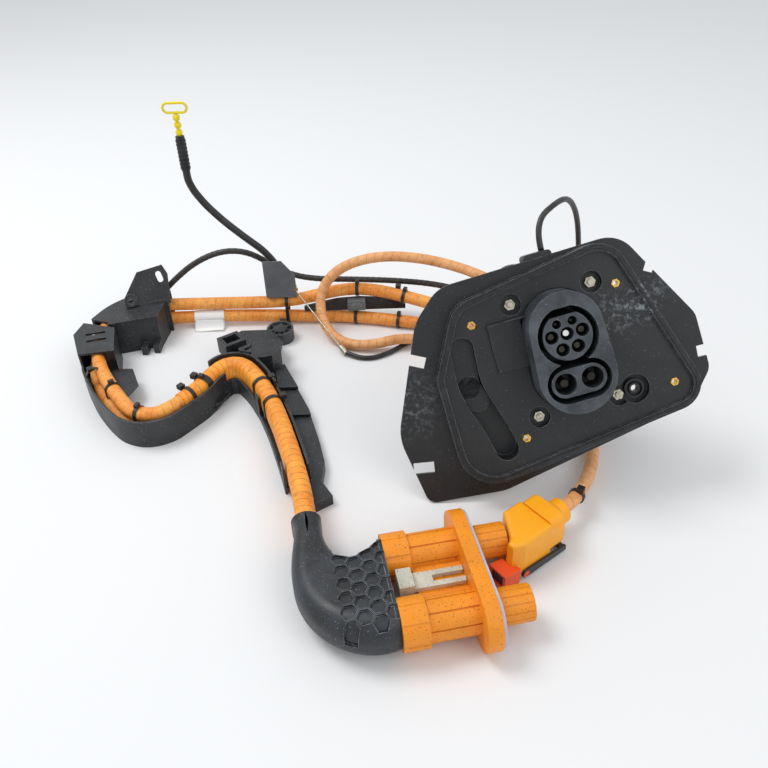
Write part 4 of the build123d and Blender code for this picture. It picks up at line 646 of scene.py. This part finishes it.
# Clip on the spacer: a grey moulded block with an oval seat in its front, pushed on between the two
# cables. It has stood in the light, and is paler than the spacer.
spacer_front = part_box("cable_spacer")[0][1]
clip_size = (0.026, 0.010, 0.016)
clip_forward = 0.0048
clip_centre = (0.002, spacer_front - clip_forward, 0.0325)
clip_rounding = 0.001
oval_size = (0.012, 0.006)
oval_front = 0.0005
# The oval's raised rim, and the seat in it: how much wider and how deep each is
oval_steps = [(0.0016, 0.0018), (0.0, 0.0026)]
bm = bmesh.new()
block(bm, clip_size, clip_centre, round_by=clip_rounding)
for wider, depth in oval_steps:
    ends = []
    for end in (-1, 1):
        for back in (0.0, depth):
            place = Vector(clip_centre) + Vector((end * (oval_size[0] - oval_size[1]) / 2,
                                                  -clip_size[1] / 2 + oval_front - back, 0))
            upright = Matrix.Translation(place) @ Matrix.Rotation(pi / 2, 4, "X")
            ends += bmesh.ops.create_circle(bm, radius=oval_size[1] / 2 + wider, segments=24,
                                            matrix=upright)["verts"]
    bmesh.ops.convex_hull(bm, input=ends)
spacer_clip = show("spacer_clip", finished_mesh("spacer_clip", bm), smooth=False)
# Polypropylene, grey: matt, and rubbed at its corners
spacer_clip.data.materials.append(
    moulded_plastic("Polypropylene, grey", body="5E6368", dusty="7C8286", worn="B8BCC0", grain=0.0007,
                    roughness=0.42, edge=0.0006, wear=0.9, dust=0.7))

# Label: plain white polyester film wound on the lower cable, with its long end hanging down in front
# and curling to the floor.
label_low, label_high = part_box("label_sleeve")
film_thickness = 0.00025
film_gap = 0.0002
flag_top = 0.0142
flag_drop = 0.0125
flag_reach = 0.011
flag_curl = 1.6
flag_ripple = 0.0006
flag_waves = 5
# Polyester film, white: smooth, with a slight sheen
film = moulded_plastic("Polyester film, white", body="F0F0EE", dusty="E2E2DE", worn="F8F8F6",
                       grain=0.0008, roughness=0.3, edge=0.0002, wear=0.2, dust=0.4)
finish(["label_sleeve"], film)
bm = bmesh.new()
bmesh.ops.create_grid(bm, x_segments=16, y_segments=10, size=0.5)
for vert in bm.verts:
    down = 0.5 - vert.co.y
    ripple = flag_ripple * sin(flag_waves * vert.co.x) * down
    vert.co = Vector((label_low[0] + (vert.co.x + 0.5) * (label_high[0] - label_low[0]),
                      label_low[1] - film_gap - flag_reach * down ** flag_curl,
                      flag_top - flag_drop * sin(down * pi / 2) + ripple))
bmesh.ops.solidify(bm, geom=bm.faces[:], thickness=film_thickness)
label_flag = show("label_flag", finished_mesh("label_flag", bm))
label_flag.data.materials.append(film)

# Emergency release: a pressed bracket holds the adjuster, and a stiff sheath climbs to a ribbed grip
# with three beads and the yellow pull ring.
# Coated steel, grey: pressed sheet, dipped and baked
finish(["metal_bracket"],
       moulded_plastic("Coated steel, grey", body="5C6064", dusty="7C8084", worn="A8ACB0", grain=0.0008,
                       roughness=0.4, edge=0.0004, wear=0.8, dust=0.6))
# Nickel-plated brass: pale yellow, dull in its threads
finish(["adjuster"], turned_metal("Nickel-plated brass", "D8C89C", "A8925C", 0.28))
finish(["release_conduit"], black_jacket)
# Thermoplastic rubber, black: soft, matt and slightly dusty
finish(["grip_sleeve"], soft_black("Thermoplastic rubber, black", "151617", "3A3B3C", 0.45))
# Acetal, yellow: waxy moulding, paler at its edges
finish(["pull_ring", "bead_stem"],
       moulded_plastic("Acetal, yellow", body="EBD40C", dusty="F4E23A", worn="F8EE80", grain=0.0008,
                       roughness=0.34, edge=0.0004, wear=0.4, dust=0.4))
# The wire below the beads is inside the grip, and comes out as the ring is pulled
grip_wire_radius = 0.0014
grip_wire_length = 0.020
grip_wire_centre = (-0.2113, 0.2833, 0.2718)
bm = bmesh.new()
bmesh.ops.create_cone(bm, cap_ends=True, segments=20, radius1=grip_wire_radius,
                      radius2=grip_wire_radius, depth=grip_wire_length,
                      matrix=Matrix.Translation(grip_wire_centre))
grip_wire = show("grip_wire", finished_mesh("grip_wire", bm), "pull_handle", False)
grip_wire.data.materials.append(bright_steel)

# Dual connector: an orange-yellow polybutylene moulding with fluted barrels and bayonet rings. Dirt
# has settled in its flutes, and its front carries a gasket and two contact sleeves.
# Polybutylene, orange yellow: satin moulding speckled with dirt
finish(["plug_body", "far_bayonet_ring", "near_bayonet_ring", "contact_sleeves"],
       moulded_plastic("Polybutylene, orange yellow", body="F2920E", dusty="D8841C", worn="FAC860",
                       roughness=0.4, edge=0.0006, wear=0.6, dust=0.75, speck="6A3E10"))
# Silicone rubber, pale grey: soft and matt, a little violet
finish(["flange_gasket"], soft_black("Silicone rubber, pale grey", "B9B6C6", "D4D2DC", 0.5))
# Polyamide, natural: ivory moulding
finish(["contact_towers"],
       moulded_plastic("Polyamide, natural", body="D8CDB4", dusty="C4B898", worn="E8E0CC"))
# Silver-plated brass: a soft white shine
finish(["plug_contacts"], turned_metal("Silver-plated brass", "E2DAC4", "A8977A", 0.25))
# Acetal, pale grey: waxy, with dirt in its serrations
latch_plastic = moulded_plastic("Acetal, pale grey", body="CDCCBE", dusty="A8A690", worn="ECECE6",
                                roughness=0.36, edge=0.0004, wear=0.6, dust=0.8, speck="5C563E")
finish(["slide_latch"], latch_plastic)
# Serrations across the latch's thumb pad, part of its moulding
plug_frame = (Matrix.Translation((0.1142, -0.2237, 0.029))
              @ Matrix(((0.9848, -0.1736, 0),
                        (0.1736, 0.9848, 0),
                        (0, 0, 1))).to_4x4())
serration_count = 4
serration_pitch = 0.0031
serration_size = (0.0013, 0.0205, 0.0012)
serration_rounding = 0.0003
first_serration = -0.0588
serration_height = 0.0155
bm = bmesh.new()
for step in range(serration_count):
    block(bm, serration_size, (first_serration - step * serration_pitch, 0, serration_height), plug_frame,
          serration_rounding)
serrations = show("latch_serrations", finished_mesh("latch_serrations", bm), "latch", False)
serrations.data.materials.append(latch_plastic)

# Elbow boot: one soft moulding of dark grey elastomer from the taped bundle to the connector. Its
# long face is dusty and its honeycomb ribs are rubbed.
# Thermoplastic elastomer, dark grey: dull, with a bluish bloom of dust
finish(["elbow_boot"],
       moulded_plastic("Thermoplastic elastomer, dark grey", body="15171A", dusty="383D44",
                       worn="A0A6AC", grain=0.001, roughness=0.36, edge=0.0009, wear=1.0, dust=0.75,
                       speck="8A8E92", speck_level=0.7))

# Smaller connector: bright yellow shell and backshell, a red-orange lock frame, a black contact face
# and a dark lever that swings over it.
# Polybutylene, bright yellow: satin moulding
finish(["ac_shell", "ac_backshell"],
       moulded_plastic("Polybutylene, bright yellow", body="F9A40C", dusty="FBB424", worn="FDD470",
                       roughness=0.32, edge=0.0008, wear=0.5, dust=0.5, speck="A8741A",
                       speck_level=0.76))
# Polyamide, red orange: dense colour, paler at its rubbed corners
red_orange = moulded_plastic("Polyamide, red orange", body="E24A0E", dusty="F06A24", worn="F8A868",
                             roughness=0.36, edge=0.0005, wear=0.8)
finish(["ac_lock_frame", "lever_pivots"], red_orange)
# Polyamide, black, contact face: clean and dark
finish(["ac_contact_block"],
       moulded_plastic("Polyamide, black, contact face", body="18191A", dusty="2C2E30", worn="606468"))
# Polyamide, dark grey: plain moulding, rubbed along the lever's arms
finish(["ac_lever"],
       moulded_plastic("Polyamide, dark grey", body="2A2C30", dusty="4A4D52", worn="9A9EA2"))
# A raised ring round each end of the lever's pivot
connector_frame = (Matrix.Translation((0.214, -0.1411, 0))
                   @ Matrix(((-0.7986, 0.6018, 0),
                             (-0.6018, -0.7986, 0),
                             (0, 0, 1))).to_4x4())
pivot_place = (0.074, 0.008)
arm_face = 0.0254
ring_radius = 0.0031
ring_wire = 0.0006
bm = bmesh.new()
for side in (-1, 1):
    centre = connector_frame @ Matrix.Translation((pivot_place[0], side * arm_face, pivot_place[1]))
    section = bmesh.ops.create_circle(bm, radius=ring_wire, segments=10,
                                      matrix=centre @ Matrix.Translation((ring_radius, 0, 0)))["verts"]
    edges = list({edge for vert in section for edge in vert.link_edges})
    axis = centre.to_3x3() @ Vector((0, 1, 0))
    bmesh.ops.spin(bm, geom=section + edges, cent=centre.translation, axis=axis, angle=2 * pi, steps=32,
                   use_merge=True)
pivot_rings = show("pivot_rings", finished_mesh("pivot_rings", bm), "connector_lever")
pivot_rings.data.materials.append(red_orange)

# Floor and light: a plain pale sheet under the harness, a broad soft lamp from the left, a weaker one
# from the right, and a pale room all round.
floor_half = 6.0
fibre_scale = 900.0
bm = bmesh.new()
bmesh.ops.create_grid(bm, x_segments=1, y_segments=1, size=floor_half)
floor_mesh = bpy.data.meshes.new("floor")
bm.to_mesh(floor_mesh)
bm.free()
floor = bpy.data.objects.new("floor", floor_mesh)
bpy.context.scene.collection.objects.link(floor)
# Matt paper, pale grey: even and dull
paper, tree = start_material("Matt paper, pale grey")
place = add_node(tree, "ShaderNodeTexCoord", output="Object")
fibres = add_node(tree, "ShaderNodeTexNoise", {"Vector": place, "Scale": fibre_scale})
marks = add_node(tree, "ShaderNodeBump", {"Height": fibres, "Strength": 0.1, "Distance": 0.0001})
close_material(tree, linear("E9EAEB"), 0.9, marks)
floor_mesh.materials.append(paper)
room_tone = "F4F6F8"
room_light = 0.78
room_seen = 0.93
world = bpy.data.worlds.new("pale room")
bpy.context.scene.world = world
world.use_nodes = True
world.node_tree.nodes.clear()
tree = world.node_tree
seen = add_node(tree, "ShaderNodeLightPath", output="Is Camera Ray")
for kind in ("Is Glossy Ray", "Is Transmission Ray"):
    also = add_node(tree, "ShaderNodeLightPath", output=kind)
    seen = add_node(tree, "ShaderNodeMath", {0: seen, 1: also}, operation="MAXIMUM")
strength = add_node(tree, "ShaderNodeMapRange", {"Value": seen, "To Min": room_light, "To Max": room_seen})
sky = add_node(tree, "ShaderNodeBackground", {"Color": linear(room_tone), "Strength": strength})
add_node(tree, "ShaderNodeOutputWorld", {"Surface": sky})
# Each lamp's place, diameter in metres and power in watts
lamps = {"window_lamp": ((-1.2, 0.4, 2.3), 1.3, 30.0),
         "room_lamp": ((1.6, -1.4, 1.9), 1.6, 12.0)}
for name, (place, size, power) in lamps.items():
    light = bpy.data.lights.new(name, "AREA")
    light.shape = "DISK"
    light.size = size
    light.energy = power
    lamp = bpy.data.objects.new(name, light)
    bpy.context.scene.collection.objects.link(lamp)
    lamp.location = place
    lamp.rotation_euler = (-Vector(place)).to_track_quat("-Z", "Y").to_euler()
